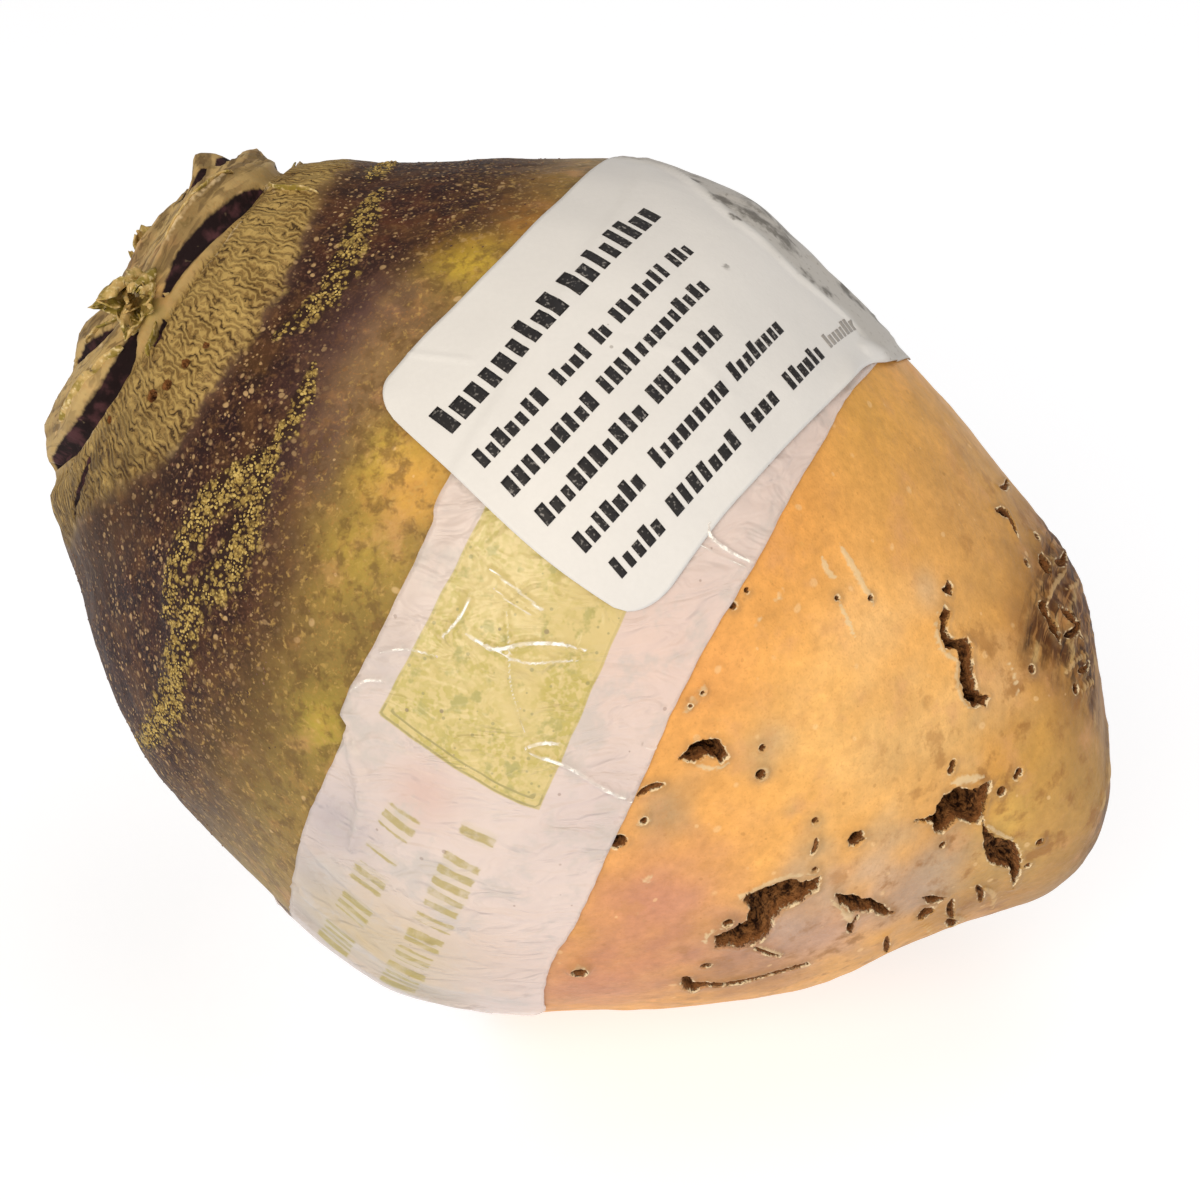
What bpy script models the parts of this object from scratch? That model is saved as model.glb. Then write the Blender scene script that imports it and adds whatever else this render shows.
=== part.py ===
"""A swede turnip lying on its side, with a film band round its middle and a paper label on the band.

Metres, +Z up. The origin is the middle of the flat spot that the root rests on. The side with the
label faces -Y and upwards. A place on the skin is given by its reach and its turn. The reach is the
distance along the skin from the top of the crown towards the tail. The turn is the angle round the
root, 0 at the front and growing towards the top of the front view.
"""

import math

import bmesh
import bpy
from mathutils import Matrix, Vector, noise

# Placing. The front is the side that a viewer sees from this far above level.
FRONT_RISE = math.radians(30)
ROOT_MIDDLE = Vector((0.0009, 0.0028, 0.0614))

# The middle line, as right, up and towards the viewer in the front view, from the root's middle.
CROWN_AT = Vector((-0.0615, 0.0390, 0.0070))
BEND_AT = Vector((-0.0040, -0.0040, 0.0))
TAIL_AT = Vector((0.0800, -0.0240, 0.0))

# Outline, crown to tail: share of the middle line, radius, and how far the round sits off the line.
OUTLINE = (
    (-0.028, 0.0000, 0.0090),
    (-0.026, 0.0080, 0.0085),
    (-0.019, 0.0155, 0.0070),
    (-0.007, 0.0220, 0.0050),
    (0.012, 0.0262, 0.0030),
    (0.050, 0.0315, 0.0010),
    (0.120, 0.0395, -0.0005),
    (0.220, 0.0505, -0.0025),
    (0.330, 0.0580, -0.0020),
    (0.450, 0.0620, -0.0035),
    (0.540, 0.0595, -0.0045),
    (0.650, 0.0525, -0.0040),
    (0.750, 0.0445, -0.0035),
    (0.850, 0.0335, -0.0025),
    (0.920, 0.0255, -0.0025),
    (0.960, 0.0180, -0.0050),
    (0.980, 0.0090, -0.0080),
    (0.984, 0.0000, -0.0090),
)
CURVE_STEPS = 12
LINE_STEPS = 200

# Swellings of the skin: reach, turn, size and height.
SWELLINGS = (
    (0.0155, 80, 0.0035, 0.0024),
    (0.0270, 84, 0.0050, -0.0010),
    (0.0180, -30, 0.0060, -0.0014),
    (0.0325, -78, 0.0040, 0.0012),
    (0.0400, -76, 0.0060, -0.0013),
    (0.0520, -80, 0.0080, 0.0009),
    (0.0800, -76, 0.0100, -0.0011),
    (0.1090, -84, 0.0060, 0.0003),
    (0.1320, -80, 0.0140, -0.0011),
    (0.1660, -76, 0.0080, 0.0010),
    (0.1880, -64, 0.0100, -0.0010),
    (0.2080, -10, 0.0080, 0.0016),
    (0.1960, 36, 0.0100, -0.0013),
    (0.1990, 76, 0.0070, -0.0008),
    (0.1120, 92, 0.0120, -0.0015),
    (0.0920, 88, 0.0050, 0.0006),
    (0.1320, -122, 0.0120, 0.0016),
    (0.0780, 200, 0.0260, 0.0016),
    (0.1450, 150, 0.0220, -0.0012),
)
UNEVEN_SIZE = 0.034
UNEVEN_HEIGHT = 0.0008

# Steps over which the direction out of the skin is measured.
FACING_STEP = 0.0005
FACING_TURN = 1.0

# Leaf scars on the crown: reach, turn, half length in degrees, half width and height.
LEAF_SCARS = (
    (0.0245, 30, 42, 0.0050, 0.0022),
    (0.0255, -38, 28, 0.0038, 0.0015),
    (0.0250, -98, 34, 0.0045, 0.0012),
    (0.0240, 112, 38, 0.0048, 0.0022),
    (0.0250, 182, 36, 0.0045, 0.0022),
    (0.0155, 75, 50, 0.0038, 0.0018),
    (0.0150, -55, 52, 0.0040, 0.0020),
    (0.0150, 195, 56, 0.0038, 0.0018),
    (0.0075, 10, 80, 0.0030, 0.0014),
    (0.0070, 190, 80, 0.0030, 0.0014),
)
GROOVE_REACH = 0.0308
GROOVE_HALF_WIDTH = 0.0024
GROOVE_DEPTH = 0.0013
CORK_REACH = 0.0390
CORK_HALF_WIDTH = 0.0075
CORK_HEIGHT = 0.0006

# Stubs of trimmed buds on the crown: reach, turn, lean in degrees, length and base radius.
BUD_STUBS = (
    (0.0250, -3, 55, 0.0060, 0.0030),
    (0.0030, 200, 20, 0.0022, 0.0040),
    (0.0180, 190, 40, 0.0040, 0.0030),
)
STUB_SIDES = 10
STUB_SUNK = 0.0030
STUB_TIP_SHARE = 0.45

# Pits that insects ate in the skin: depth, then the rim as reach and turn.
PITS = (
    (0.0045, (0.1300, -12.6), (0.1315, -10.8), (0.1345, -11.0), (0.1360, -12.2), (0.1340, -13.6),
     (0.1310, -13.9)),
    (0.0040, (0.1600, 22.0), (0.1613, 21.3), (0.1636, 16.4), (0.1674, 13.4), (0.1716, 7.4),
     (0.1706, 6.2), (0.1676, 9.4), (0.1654, 13.0), (0.1616, 15.6)),
    (0.0055, (0.1700, -19.6), (0.1732, -17.2), (0.1736, -13.8), (0.1760, -12.4), (0.1790, -11.2),
     (0.1784, -15.4), (0.1782, -20.6), (0.1796, -25.0), (0.1766, -23.8), (0.1734, -24.6),
     (0.1716, -22.0)),
    (0.0030, (0.1800, -26.0), (0.1820, -27.0), (0.1856, -31.5), (0.1888, -40.0), (0.1880, -44.0),
     (0.1846, -36.5)),
    (0.0040, (0.1576, -23.4), (0.1588, -22.6), (0.1602, -23.2), (0.1600, -24.6), (0.1584, -25.0)),
    (0.0050, (0.1456, -37.0), (0.1480, -33.4), (0.1520, -33.0), (0.1558, -31.8), (0.1554, -34.2),
     (0.1516, -37.0), (0.1498, -41.0), (0.1514, -46.0), (0.1484, -48.6), (0.1456, -46.0),
     (0.1468, -41.4)),
    (0.0035, (0.1596, -36.4), (0.1626, -37.6), (0.1664, -40.6), (0.1694, -45.6), (0.1656, -45.4),
     (0.1616, -41.8)),
    (0.0030, (0.1740, -43.4), (0.1772, -44.2), (0.1766, -46.2), (0.1744, -45.8)),
    (0.0030, (0.1752, -48.4), (0.1770, -48.8), (0.1764, -52.6), (0.1754, -51.8)),
    (0.0030, (0.1436, -59.0), (0.1470, -60.4), (0.1536, -60.4), (0.1584, -58.6), (0.1540, -62.8),
     (0.1474, -64.2)),
    (0.0030, (0.1784, 37.6), (0.1806, 36.6), (0.1846, 32.4), (0.1834, 31.0), (0.1796, 34.4)),
    (0.0030, (0.1816, 43.8), (0.1856, 45.2), (0.1882, 42.6), (0.1868, 39.6), (0.1832, 41.0)),
    (0.0030, (0.1780, 53.6), (0.1806, 54.0), (0.1812, 50.6), (0.1788, 49.8)),
)
PIT_ABOVE_SKIN = 0.0030
PIT_MOUTH_SHARE = 1.08
PIT_FLOOR_SHARE = 0.55

# A block below the floor level, which cuts the flat resting spot.
REST_BLOCK_SIDE = 0.2

# The film band: turn, then the reach of its edge on the crown side and on the tail side.
FILM_EDGES = (
    (-180, 0.0790, 0.1205),
    (-150, 0.0770, 0.1150),
    (-125, 0.0780, 0.1150),
    (-100, 0.0870, 0.1200),
    (-80, 0.0935, 0.1265),
    (-60, 0.0915, 0.1270),
    (-40, 0.0895, 0.1260),
    (-20, 0.0870, 0.1258),
    (0, 0.0868, 0.1272),
    (20, 0.0865, 0.1305),
    (40, 0.0880, 0.1335),
    (60, 0.0900, 0.1395),
    (80, 0.0900, 0.1420),
    (110, 0.0880, 0.1370),
    (145, 0.0830, 0.1270),
)
FILM_GAP = 0.00035
FILM_THICK = 0.00040
FILM_TURNS = 80
FILM_STRIPS = 8

# The label: its two long edges, from the printed foot to the far end, as reach and turn.
LABEL_CROWN_EDGE = (
    (0.0692, 11.0), (0.0745, 28.0), (0.0785, 46.0), (0.0825, 66.0), (0.0875, 92.0)
)
LABEL_TAIL_EDGE = (
    (0.1176, 0.8), (0.1212, 15.0), (0.1250, 25.0), (0.1318, 41.5), (0.1366, 55.0),
    (0.1426, 67.0), (0.1480, 90.0),
)
LABEL_FOOT_BOW = -2.6
LABEL_GAP = 0.00110
LABEL_THICK = 0.00040
LABEL_CORNER_ACROSS = 0.10
LABEL_CORNER_ALONG = 0.07
LABEL_ROWS = 22
LABEL_STRIPS = 14

# Mesh rings of the root: close together on the crown, wider over the rest.
CROWN_REACH = 0.046
CROWN_RINGS = 23
SKIN_RINGS = 54
SKIN_TURNS = 64

SEAM_MERGE = 0.00001
SHARP_ANGLE = math.radians(40)

# Materials: colour and roughness.
FLESH_LOOK = ((0.55, 0.33, 0.12, 1.0), 0.55)
FILM_LOOK = ((0.72, 0.60, 0.57, 1.0), 0.30)
PAPER_LOOK = ((0.80, 0.76, 0.73, 1.0), 0.60)


def swell(distance):
    """1 in the middle of a bump, 0 from its edge outwards, smooth between."""
    return (1 - distance * distance) ** 2 if abs(distance) < 1 else 0.0


def turn_between(a, b):
    """The angle from b to a in degrees, between -180 and 180."""
    return (a - b + 180) % 360 - 180


def curve_through(points, steps):
    """Close points on the smooth curve through some points."""
    points = [Vector(p) for p in points]
    points = [points[0] * 2 - points[1], *points, points[-1] * 2 - points[-2]]
    found = []
    for a, b, c, d in zip(points, points[1:], points[2:], points[3:]):
        for step in range(steps):
            t = step / steps
            bend = (a * 2 - b * 5 + c * 4 - d) * t**2
            found.append((b * 2 + (c - a) * t + bend + (b * 3 - a - c * 3 + d) * t**3) / 2)
    return [*found, points[-2]]


def between(table, place):
    """Values at a place in a table sorted by its first column, with straight steps between rows."""
    low, high = 0, len(table) - 1
    while high - low > 1:
        middle = (low + high) // 2
        if table[middle][0] <= place:
            low = middle
        else:
            high = middle
    a, b = table[low], table[high]
    share = min(max((place - a[0]) / (b[0] - a[0]), 0.0), 1.0)
    return [p + (q - p) * share for p, q in zip(a[1:], b[1:])]


def middle_line(share):
    """Point and three directions of the middle line: ahead, to the front and over the top."""
    t = min(max(share, 0.0), 1.0)
    point = CROWN_AT * (1 - t) ** 2 + BEND_AT * 2 * t * (1 - t) + TAIL_AT * t * t
    ahead = ((BEND_AT - CROWN_AT) * (1 - t) + (TAIL_AT - BEND_AT) * t).normalized()
    front = (Vector((0, 0, 1)) - ahead * ahead.z).normalized()
    return point, ahead, front, front.cross(ahead)


def middle_line_table(steps):
    """Length so far against the curve's own share, and the whole length."""
    rows, length, last = [(0.0, 0.0)], 0.0, CROWN_AT
    for step in range(1, steps + 1):
        point = middle_line(step / steps)[0]
        length += (point - last).length
        rows.append((length, step / steps))
        last = point
    return [(a / length, b) for a, b in rows], length


LINE_TABLE, LINE_LENGTH = middle_line_table(LINE_STEPS)


def outline_table():
    """Rows of reach, share of the line, radius and offset."""
    rows, reach, last = [], 0.0, None
    for point in curve_through(OUTLINE, CURVE_STEPS):
        if last is not None:
            reach += math.hypot((point[0] - last[0]) * LINE_LENGTH, point[1] - last[1])
        rows.append((reach, *point))
        last = point
    return rows


OUTLINE_TABLE = outline_table()
WHOLE_REACH = OUTLINE_TABLE[-1][0]

TO_WORLD = Matrix.Rotation(math.radians(90) - FRONT_RISE, 3, "X")


def round_skin(reach, turn):
    """A place on the smooth body, before swellings and scars."""
    share, radius, offset = between(OUTLINE_TABLE, reach)
    point, ahead, front, over = middle_line(between(LINE_TABLE, min(max(share, 0.0), 1.0))[0])
    point = point + ahead * LINE_LENGTH * min(share, 0.0)
    angle = math.radians(turn)
    place = point + over * offset + (front * math.cos(angle) + over * math.sin(angle)) * max(radius, 0.0)
    return TO_WORLD @ place + ROOT_MIDDLE


def skin_facing(reach, turn):
    """The direction straight out of the smooth body."""
    reach = min(max(reach, 2 * FACING_STEP), WHOLE_REACH - 2 * FACING_STEP)
    along = round_skin(reach + FACING_STEP, turn) - round_skin(reach - FACING_STEP, turn)
    across = round_skin(reach, turn + FACING_TURN) - round_skin(reach, turn - FACING_TURN)
    return along.cross(across).normalized()


SWELLING_PLACES = [(round_skin(reach, turn), size, height) for reach, turn, size, height in SWELLINGS]


def crown_height(reach, turn):
    """How far the crown's scars, groove and corky band stand out of the smooth body."""
    height = CORK_HEIGHT * swell((reach - CORK_REACH) / CORK_HALF_WIDTH)
    height -= GROOVE_DEPTH * swell((reach - GROOVE_REACH) / GROOVE_HALF_WIDTH)
    for scar_reach, scar_turn, half_length, half_width, scar_height in LEAF_SCARS:
        height += (
            scar_height
            * swell(turn_between(turn, scar_turn) / half_length)
            * swell((reach - scar_reach) / half_width)
        )
    return height


def skin(reach, turn, out=0.0):
    """A place on the finished skin, or this far outside it."""
    place = round_skin(reach, turn)
    height = UNEVEN_HEIGHT * noise.noise((place - ROOT_MIDDLE) / UNEVEN_SIZE)
    for middle, size, swelling in SWELLING_PLACES:
        height += swelling * math.exp(-((place - middle).length_squared) / (2 * size * size))
    return place + skin_facing(reach, turn) * (height + crown_height(reach, turn) + out)


def ring_reach(ring):
    """The reach of a mesh ring."""
    if ring <= CROWN_RINGS:
        return CROWN_REACH * ring / CROWN_RINGS
    return CROWN_REACH + (WHOLE_REACH - CROWN_REACH) * (ring - CROWN_RINGS) / (SKIN_RINGS - CROWN_RINGS)


def plain_material(name, look):
    """A plain material of one colour and roughness."""
    colour, roughness = look
    material = bpy.data.materials.new(name)
    material.use_nodes = True
    shader = material.node_tree.nodes["Principled BSDF"]
    shader.inputs["Base Color"].default_value = colour
    shader.inputs["Roughness"].default_value = roughness
    shader.inputs["Metallic"].default_value = 0.0
    return material


def mesh_object(name, bm, collection, look):
    """An object in a collection, from a bmesh."""
    mesh = bpy.data.meshes.new(name)
    bm.to_mesh(mesh)
    bm.free()
    mesh.shade_smooth()
    mesh.set_sharp_from_angle(angle=SHARP_ANGLE)
    mesh.materials.append(plain_material(name, look))
    obj = bpy.data.objects.new(name, mesh)
    collection.objects.link(obj)
    return obj


def collection_named(name):
    """A new collection in the scene."""
    collection = bpy.data.collections.new(name)
    bpy.context.scene.collection.children.link(collection)
    return collection


def root_body(collection):
    """The grown body: a sphere whose rings and meridians are laid along the skin."""
    bm = bmesh.new()
    bmesh.ops.create_uvsphere(bm, u_segments=SKIN_TURNS, v_segments=SKIN_RINGS, radius=1.0)
    for vert in bm.verts:
        down = math.acos(min(max(vert.co.z, -1.0), 1.0))
        turn = math.degrees(math.atan2(vert.co.y, vert.co.x))
        vert.co = skin(ring_reach(down / math.pi * SKIN_RINGS), turn)
    bmesh.ops.recalc_face_normals(bm, faces=bm.faces)
    return mesh_object("turnip_root", bm, collection, FLESH_LOOK)


def bud_stub(reach, turn, lean, length, radius):
    """A short blunt cone that leans towards the crown's rim."""
    outwards = (round_skin(reach + FACING_STEP, turn) - round_skin(reach - FACING_STEP, turn)).normalized()
    angle = math.radians(lean)
    way = skin_facing(reach, turn) * math.cos(angle) + outwards * math.sin(angle)
    bm = bmesh.new()
    bmesh.ops.create_cone(
        bm,
        cap_ends=True,
        segments=STUB_SIDES,
        radius1=radius,
        radius2=radius * STUB_TIP_SHARE,
        depth=length + STUB_SUNK,
        matrix=Matrix.Translation(skin(reach, turn) + way * (length - STUB_SUNK) / 2)
        @ way.to_track_quat("Z", "Y").to_matrix().to_4x4(),
    )
    return bm


def pit_block(depth, rim):
    """A block through the skin along a pit's rim, narrower at its floor."""
    middle_reach = sum(reach for reach, _ in rim) / len(rim)
    middle_turn = sum(turn for _, turn in rim) / len(rim)
    bm = bmesh.new()
    loops = []
    for out, share in ((PIT_ABOVE_SKIN, PIT_MOUTH_SHARE), (0.0, 1.0), (-depth, PIT_FLOOR_SHARE)):
        loop = [
            bm.verts.new(skin(
                middle_reach + (reach - middle_reach) * share,
                middle_turn + (turn - middle_turn) * share,
                out,
            ))
            for reach, turn in rim
        ]
        loops.append([bm.edges.new((loop[here - 1], loop[here])) for here in range(len(loop))])
    for upper, lower in zip(loops, loops[1:]):
        bmesh.ops.bridge_loops(bm, edges=upper + lower)
    bmesh.ops.edgenet_fill(bm, edges=loops[0])
    bmesh.ops.edgenet_fill(bm, edges=loops[-1])
    bmesh.ops.triangulate(bm, faces=bm.faces)
    bmesh.ops.recalc_face_normals(bm, faces=bm.faces)
    return bm


def rest_block():
    """A block whose top face is the floor that the root rests on."""
    bm = bmesh.new()
    below = Matrix.Translation((0, 0, -REST_BLOCK_SIDE / 2))
    bmesh.ops.create_cube(bm, size=REST_BLOCK_SIDE, matrix=below)
    return bm


def shape_root(root, collection):
    """Join the bud stubs to the root, then cut the pits and the resting spot."""
    steps = [("UNION", bud_stub(*stub)) for stub in BUD_STUBS]
    steps += [("DIFFERENCE", pit_block(depth, rim)) for depth, *rim in PITS]
    steps.append(("DIFFERENCE", rest_block()))
    for number, (operation, bm) in enumerate(steps):
        name = f"{operation.lower()}_{number:02d}"
        tool = mesh_object(name, bm, collection, FLESH_LOOK)
        tool.hide_render = True
        tool.display_type = "WIRE"
        boolean = root.modifiers.new(name, "BOOLEAN")
        boolean.solver = "EXACT"
        boolean.operation = operation
        boolean.object = tool


def thicken(obj, thickness):
    """Give an open surface its thickness, away from the root."""
    solidify = obj.modifiers.new("thickness", "SOLIDIFY")
    solidify.thickness = thickness
    solidify.offset = 1.0


def film_edges():
    """Both edges of the film as a smooth closed course, by turn."""
    first, second, last = FILM_EDGES[0], FILM_EDGES[1], FILM_EDGES[-1]
    course = [
        (last[0] - 360, *last[1:]),
        *FILM_EDGES,
        (first[0] + 360, *first[1:]),
        (second[0] + 360, *second[1:]),
    ]
    return curve_through(course, CURVE_STEPS)


def film_band(collection):
    """The film: a grid laid once round the root and joined at its ends."""
    edges = film_edges()
    bm = bmesh.new()
    bmesh.ops.create_grid(bm, x_segments=FILM_STRIPS, y_segments=FILM_TURNS, size=0.5)
    for vert in bm.verts:
        turn = 360 * vert.co.y
        first, last = between(edges, turn)
        vert.co = skin(first + (last - first) * (vert.co.x + 0.5), turn, FILM_GAP)
    bmesh.ops.remove_doubles(bm, verts=bm.verts, dist=SEAM_MERGE)
    thicken(mesh_object("film_band", bm, collection, FILM_LOOK), FILM_THICK)


def corner_inset(share):
    """How much narrower the label is at this share of its length, as a share of its width."""
    inside = min(share, 1 - share) / LABEL_CORNER_ALONG
    return LABEL_CORNER_ACROSS * (1 - math.sqrt(1 - (1 - inside) ** 2)) if inside < 1 else 0.0


def point_on(curve, share):
    """A place at a share of the way along a list of close points."""
    place = share * (len(curve) - 1)
    low = min(int(place), len(curve) - 2)
    return curve[low].lerp(curve[low + 1], place - low)


def paper_label(collection):
    """The label: a grid laid between its two long edges, narrower at the ends for the round corners."""
    crown_edge = curve_through(LABEL_CROWN_EDGE, CURVE_STEPS)
    tail_edge = curve_through(LABEL_TAIL_EDGE, CURVE_STEPS)
    bm = bmesh.new()
    bmesh.ops.create_grid(bm, x_segments=LABEL_STRIPS, y_segments=LABEL_ROWS, size=0.5)
    for vert in bm.verts:
        share = 0.5 + 0.5 * math.sin(math.pi * vert.co.y)
        inset = corner_inset(share)
        across = inset + (1 - 2 * inset) * (vert.co.x + 0.5)
        reach, turn = point_on(crown_edge, share).lerp(point_on(tail_edge, share), across)
        turn += LABEL_FOOT_BOW * 4 * across * (1 - across) * (1 - share) ** 3
        vert.co = skin(reach, turn, LABEL_GAP)
    thicken(mesh_object("paper_label", bm, collection, PAPER_LOOK), LABEL_THICK)


for old in list(bpy.data.objects):
    bpy.data.objects.remove(old, do_unlink=True)

turnip = collection_named("turnip")
shape_root(root_body(turnip), collection_named("turnip_cutters"))
film_band(turnip)
paper_label(turnip)
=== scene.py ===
"""The looks of a swede turnip lying on its side, with a film band and a paper label.

Lengths in this file are millimetres unless a name says otherwise, and meshes are made in metres.
A place on the skin is given by its reach and its turn. The reach is the distance along the skin
from the top of the crown towards the tail. The turn is the angle round the root in degrees, 0 at
the front and growing towards the top of the front view.
"""

import math
import random

import bmesh
import bpy
import numpy as np
from mathutils import Euler, Matrix, Vector, noise


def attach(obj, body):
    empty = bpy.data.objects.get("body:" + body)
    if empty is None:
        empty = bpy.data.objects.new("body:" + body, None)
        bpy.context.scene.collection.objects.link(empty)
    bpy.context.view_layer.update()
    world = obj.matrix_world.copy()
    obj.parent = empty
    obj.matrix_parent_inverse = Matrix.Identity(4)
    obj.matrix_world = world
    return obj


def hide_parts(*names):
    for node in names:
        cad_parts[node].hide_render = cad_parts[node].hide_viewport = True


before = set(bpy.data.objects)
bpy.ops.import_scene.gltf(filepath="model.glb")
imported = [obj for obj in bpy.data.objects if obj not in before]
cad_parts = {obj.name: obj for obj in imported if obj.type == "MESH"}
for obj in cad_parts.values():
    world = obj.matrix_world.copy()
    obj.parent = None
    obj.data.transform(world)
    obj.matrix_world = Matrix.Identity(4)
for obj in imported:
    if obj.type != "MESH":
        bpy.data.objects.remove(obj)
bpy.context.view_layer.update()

bl_info = {
    "name": "Swede turnip",
    "version": (1, 0, 0),
    "blender": (4, 5, 0),
    "location": "View3D > Sidebar > Turnip",
    "description": "Makes a swede turnip with its film band and paper label",
    "category": "Object",
}

MM = 0.001

# Placing. The front is the side that a viewer sees from this far above level.
FRONT_RISE = math.radians(30)
ROOT_MIDDLE = np.array((0.9, 2.8, 61.4))

# The middle line, as right, up and towards the viewer in the front view, from the root's middle.
CROWN_AT = np.array((-61.5, 39.0, 7.0))
BEND_AT = np.array((-4.0, -4.0, 0.0))
TAIL_AT = np.array((80.0, -24.0, 0.0))

# Outline, crown to tail: share of the middle line, radius, and how far the round sits off the line.
OUTLINE = (
    (-0.028, 0, 9),
    (-0.026, 8, 8.5),
    (-0.019, 15.5, 7),
    (-0.007, 22, 5),
    (0.012, 26.2, 3),
    (0.05, 31.5, 1),
    (0.12, 39.5, -0.5),
    (0.22, 50.5, -2.5),
    (0.33, 58, -2),
    (0.45, 62, -3.5),
    (0.54, 59.5, -4.5),
    (0.65, 52.5, -4),
    (0.75, 44.5, -3.5),
    (0.85, 33.5, -2.5),
    (0.92, 25.5, -2.5),
    (0.96, 18, -5),
    (0.98, 9, -8),
    (0.984, 0, -9),
)
CURVE_STEPS = 12
LINE_STEPS = 200

# Swellings of the skin: reach, turn, size and height.
SWELLINGS = (
    (15.5, 80, 3.5, 2.4),
    (27, 84, 5, -1),
    (18, -30, 6, -1.4),
    (32.5, -78, 4, 1.2),
    (40, -76, 6, -1.3),
    (52, -80, 8, 0.9),
    (80, -76, 10, -1.1),
    (109, -84, 6, 0.3),
    (132, -80, 14, -1.1),
    (166, -76, 8, 1),
    (188, -64, 10, -1),
    (208, -10, 8, 1.6),
    (196, 36, 10, -1.3),
    (199, 76, 7, -0.8),
    (112, 92, 12, -1.5),
    (92, 88, 5, 0.6),
    (132, -122, 12, 1.6),
    (78, 200, 26, 1.6),
    (145, 150, 22, -1.2),
)
UNEVEN_SIZE = 34.0
UNEVEN_HEIGHT = 0.8
SOFT_SIZE = 9.0
SOFT_HEIGHT = 0.3
FACING_STEP = 0.5
FACING_TURN = 1.0

# Leaf scars on the crown: reach, turn, half length in degrees, half width and height.
LEAF_SCARS = (
    (24.5, 30, 42, 5, 2.2),
    (25.5, -38, 28, 3.8, 1.5),
    (25, -98, 34, 4.5, 1.2),
    (24, 112, 38, 4.8, 2.2),
    (25, 182, 36, 4.5, 2.2),
    (15.5, 75, 50, 3.8, 1.8),
    (15, -55, 52, 4, 2),
    (15, 195, 56, 3.8, 1.8),
    (7.5, 10, 80, 3, 1.4),
    (7, 190, 80, 3, 1.4),
)
GROOVE_REACH = 30.8
GROOVE_HALF_WIDTH = 2.4
GROOVE_DEPTH = 1.3
CORK_REACH = 39.0
CORK_HALF_WIDTH = 7.5
CORK_HEIGHT = 0.6
# How far the purple reaches past its middle course: turn, then millimetres.
PURPLE_SHIFTS = (
    (-180, 0), (-80, 6), (-45, 4), (-20, -2), (0, -11), (14, -18), (28, -16), (50, 0),
    (180, 0)
)
# How much narrower the tan of the band gets: turn, then millimetres.
CORK_NARROWS = (
    (-180, 4.5), (-120, 4.5), (-90, 7), (-50, 7), (-18, 0), (22, 0), (50, 4.5), (180, 4.5)
)

# Steps of the skin's mesh along the root: from this reach on, this far apart.
RING_STEPS = ((0, 0.66), (46, 1), (86, 1.7), (124, 0.68), (192, 1))
# Steps of the skin's mesh round the root: from this turn on, this many degrees apart.
TURN_STEPS = ((-180, 2.2), (-92, 0.9), (92, 2.2))


def unit(vectors):
    """Vectors at length one."""
    return vectors / np.linalg.norm(vectors, axis=-1, keepdims=True)


def swell(distance):
    """1 in the middle of a bump, 0 from its edge outwards, smooth between."""
    return np.clip(1 - np.square(distance), 0, None) ** 2


def ease(values, start, end):
    """0 before the start and 1 past the end, smooth between."""
    share = np.clip((values - start) / (end - start), 0, 1)
    return share * share * (3 - 2 * share)


def turn_between(a, b):
    """The angle from b to a in degrees, between -180 and 180."""
    return (a - b + 180) % 360 - 180


def curve_through(points, steps):
    """Close points on the smooth curve through some points."""
    points = np.asarray(points, float)
    points = np.vstack((points[0] * 2 - points[1], points, points[-1] * 2 - points[-2]))
    t = (np.arange(steps) / steps)[:, None]
    found = [
        (b * 2 + (c - a) * t + (a * 2 - b * 5 + c * 4 - d) * t**2 + (b * 3 - a - c * 3 + d) * t**3) / 2
        for a, b, c, d in zip(points, points[1:], points[2:], points[3:])
    ]
    return np.vstack((*found, points[-2]))


def middle_line(share):
    """Points and three directions of the middle line: ahead, to the front and over the top."""
    t = np.clip(share, 0, 1)[..., None]
    point = CROWN_AT * (1 - t) ** 2 + BEND_AT * 2 * t * (1 - t) + TAIL_AT * t * t
    ahead = unit((BEND_AT - CROWN_AT) * (1 - t) + (TAIL_AT - BEND_AT) * t)
    front = unit(np.array((0.0, 0.0, 1.0)) - ahead * ahead[..., 2:])
    return point, ahead, front, np.cross(front, ahead)


def middle_line_table():
    """Length so far as a share of the whole against the curve's own share, and the whole length."""
    shares = np.linspace(0, 1, LINE_STEPS + 1)
    steps = np.linalg.norm(np.diff(middle_line(shares)[0], axis=0), axis=1)
    length = np.concatenate(([0.0], np.cumsum(steps)))
    return length / length[-1], shares, length[-1]


LINE_SO_FAR, LINE_SHARE, LINE_LENGTH = middle_line_table()


def outline_table():
    """Columns of reach, share of the line, radius and offset."""
    points = curve_through(OUTLINE, CURVE_STEPS)
    steps = np.hypot(np.diff(points[:, 0]) * LINE_LENGTH, np.diff(points[:, 1]))
    return np.column_stack((np.concatenate(([0.0], np.cumsum(steps))), points)).T


OUTLINE_REACH, OUTLINE_SHARE, OUTLINE_RADIUS, OUTLINE_OFFSET = outline_table()
WHOLE_REACH = OUTLINE_REACH[-1]

TO_WORLD = np.array(Matrix.Rotation(math.radians(90) - FRONT_RISE, 3, "X"))


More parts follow.
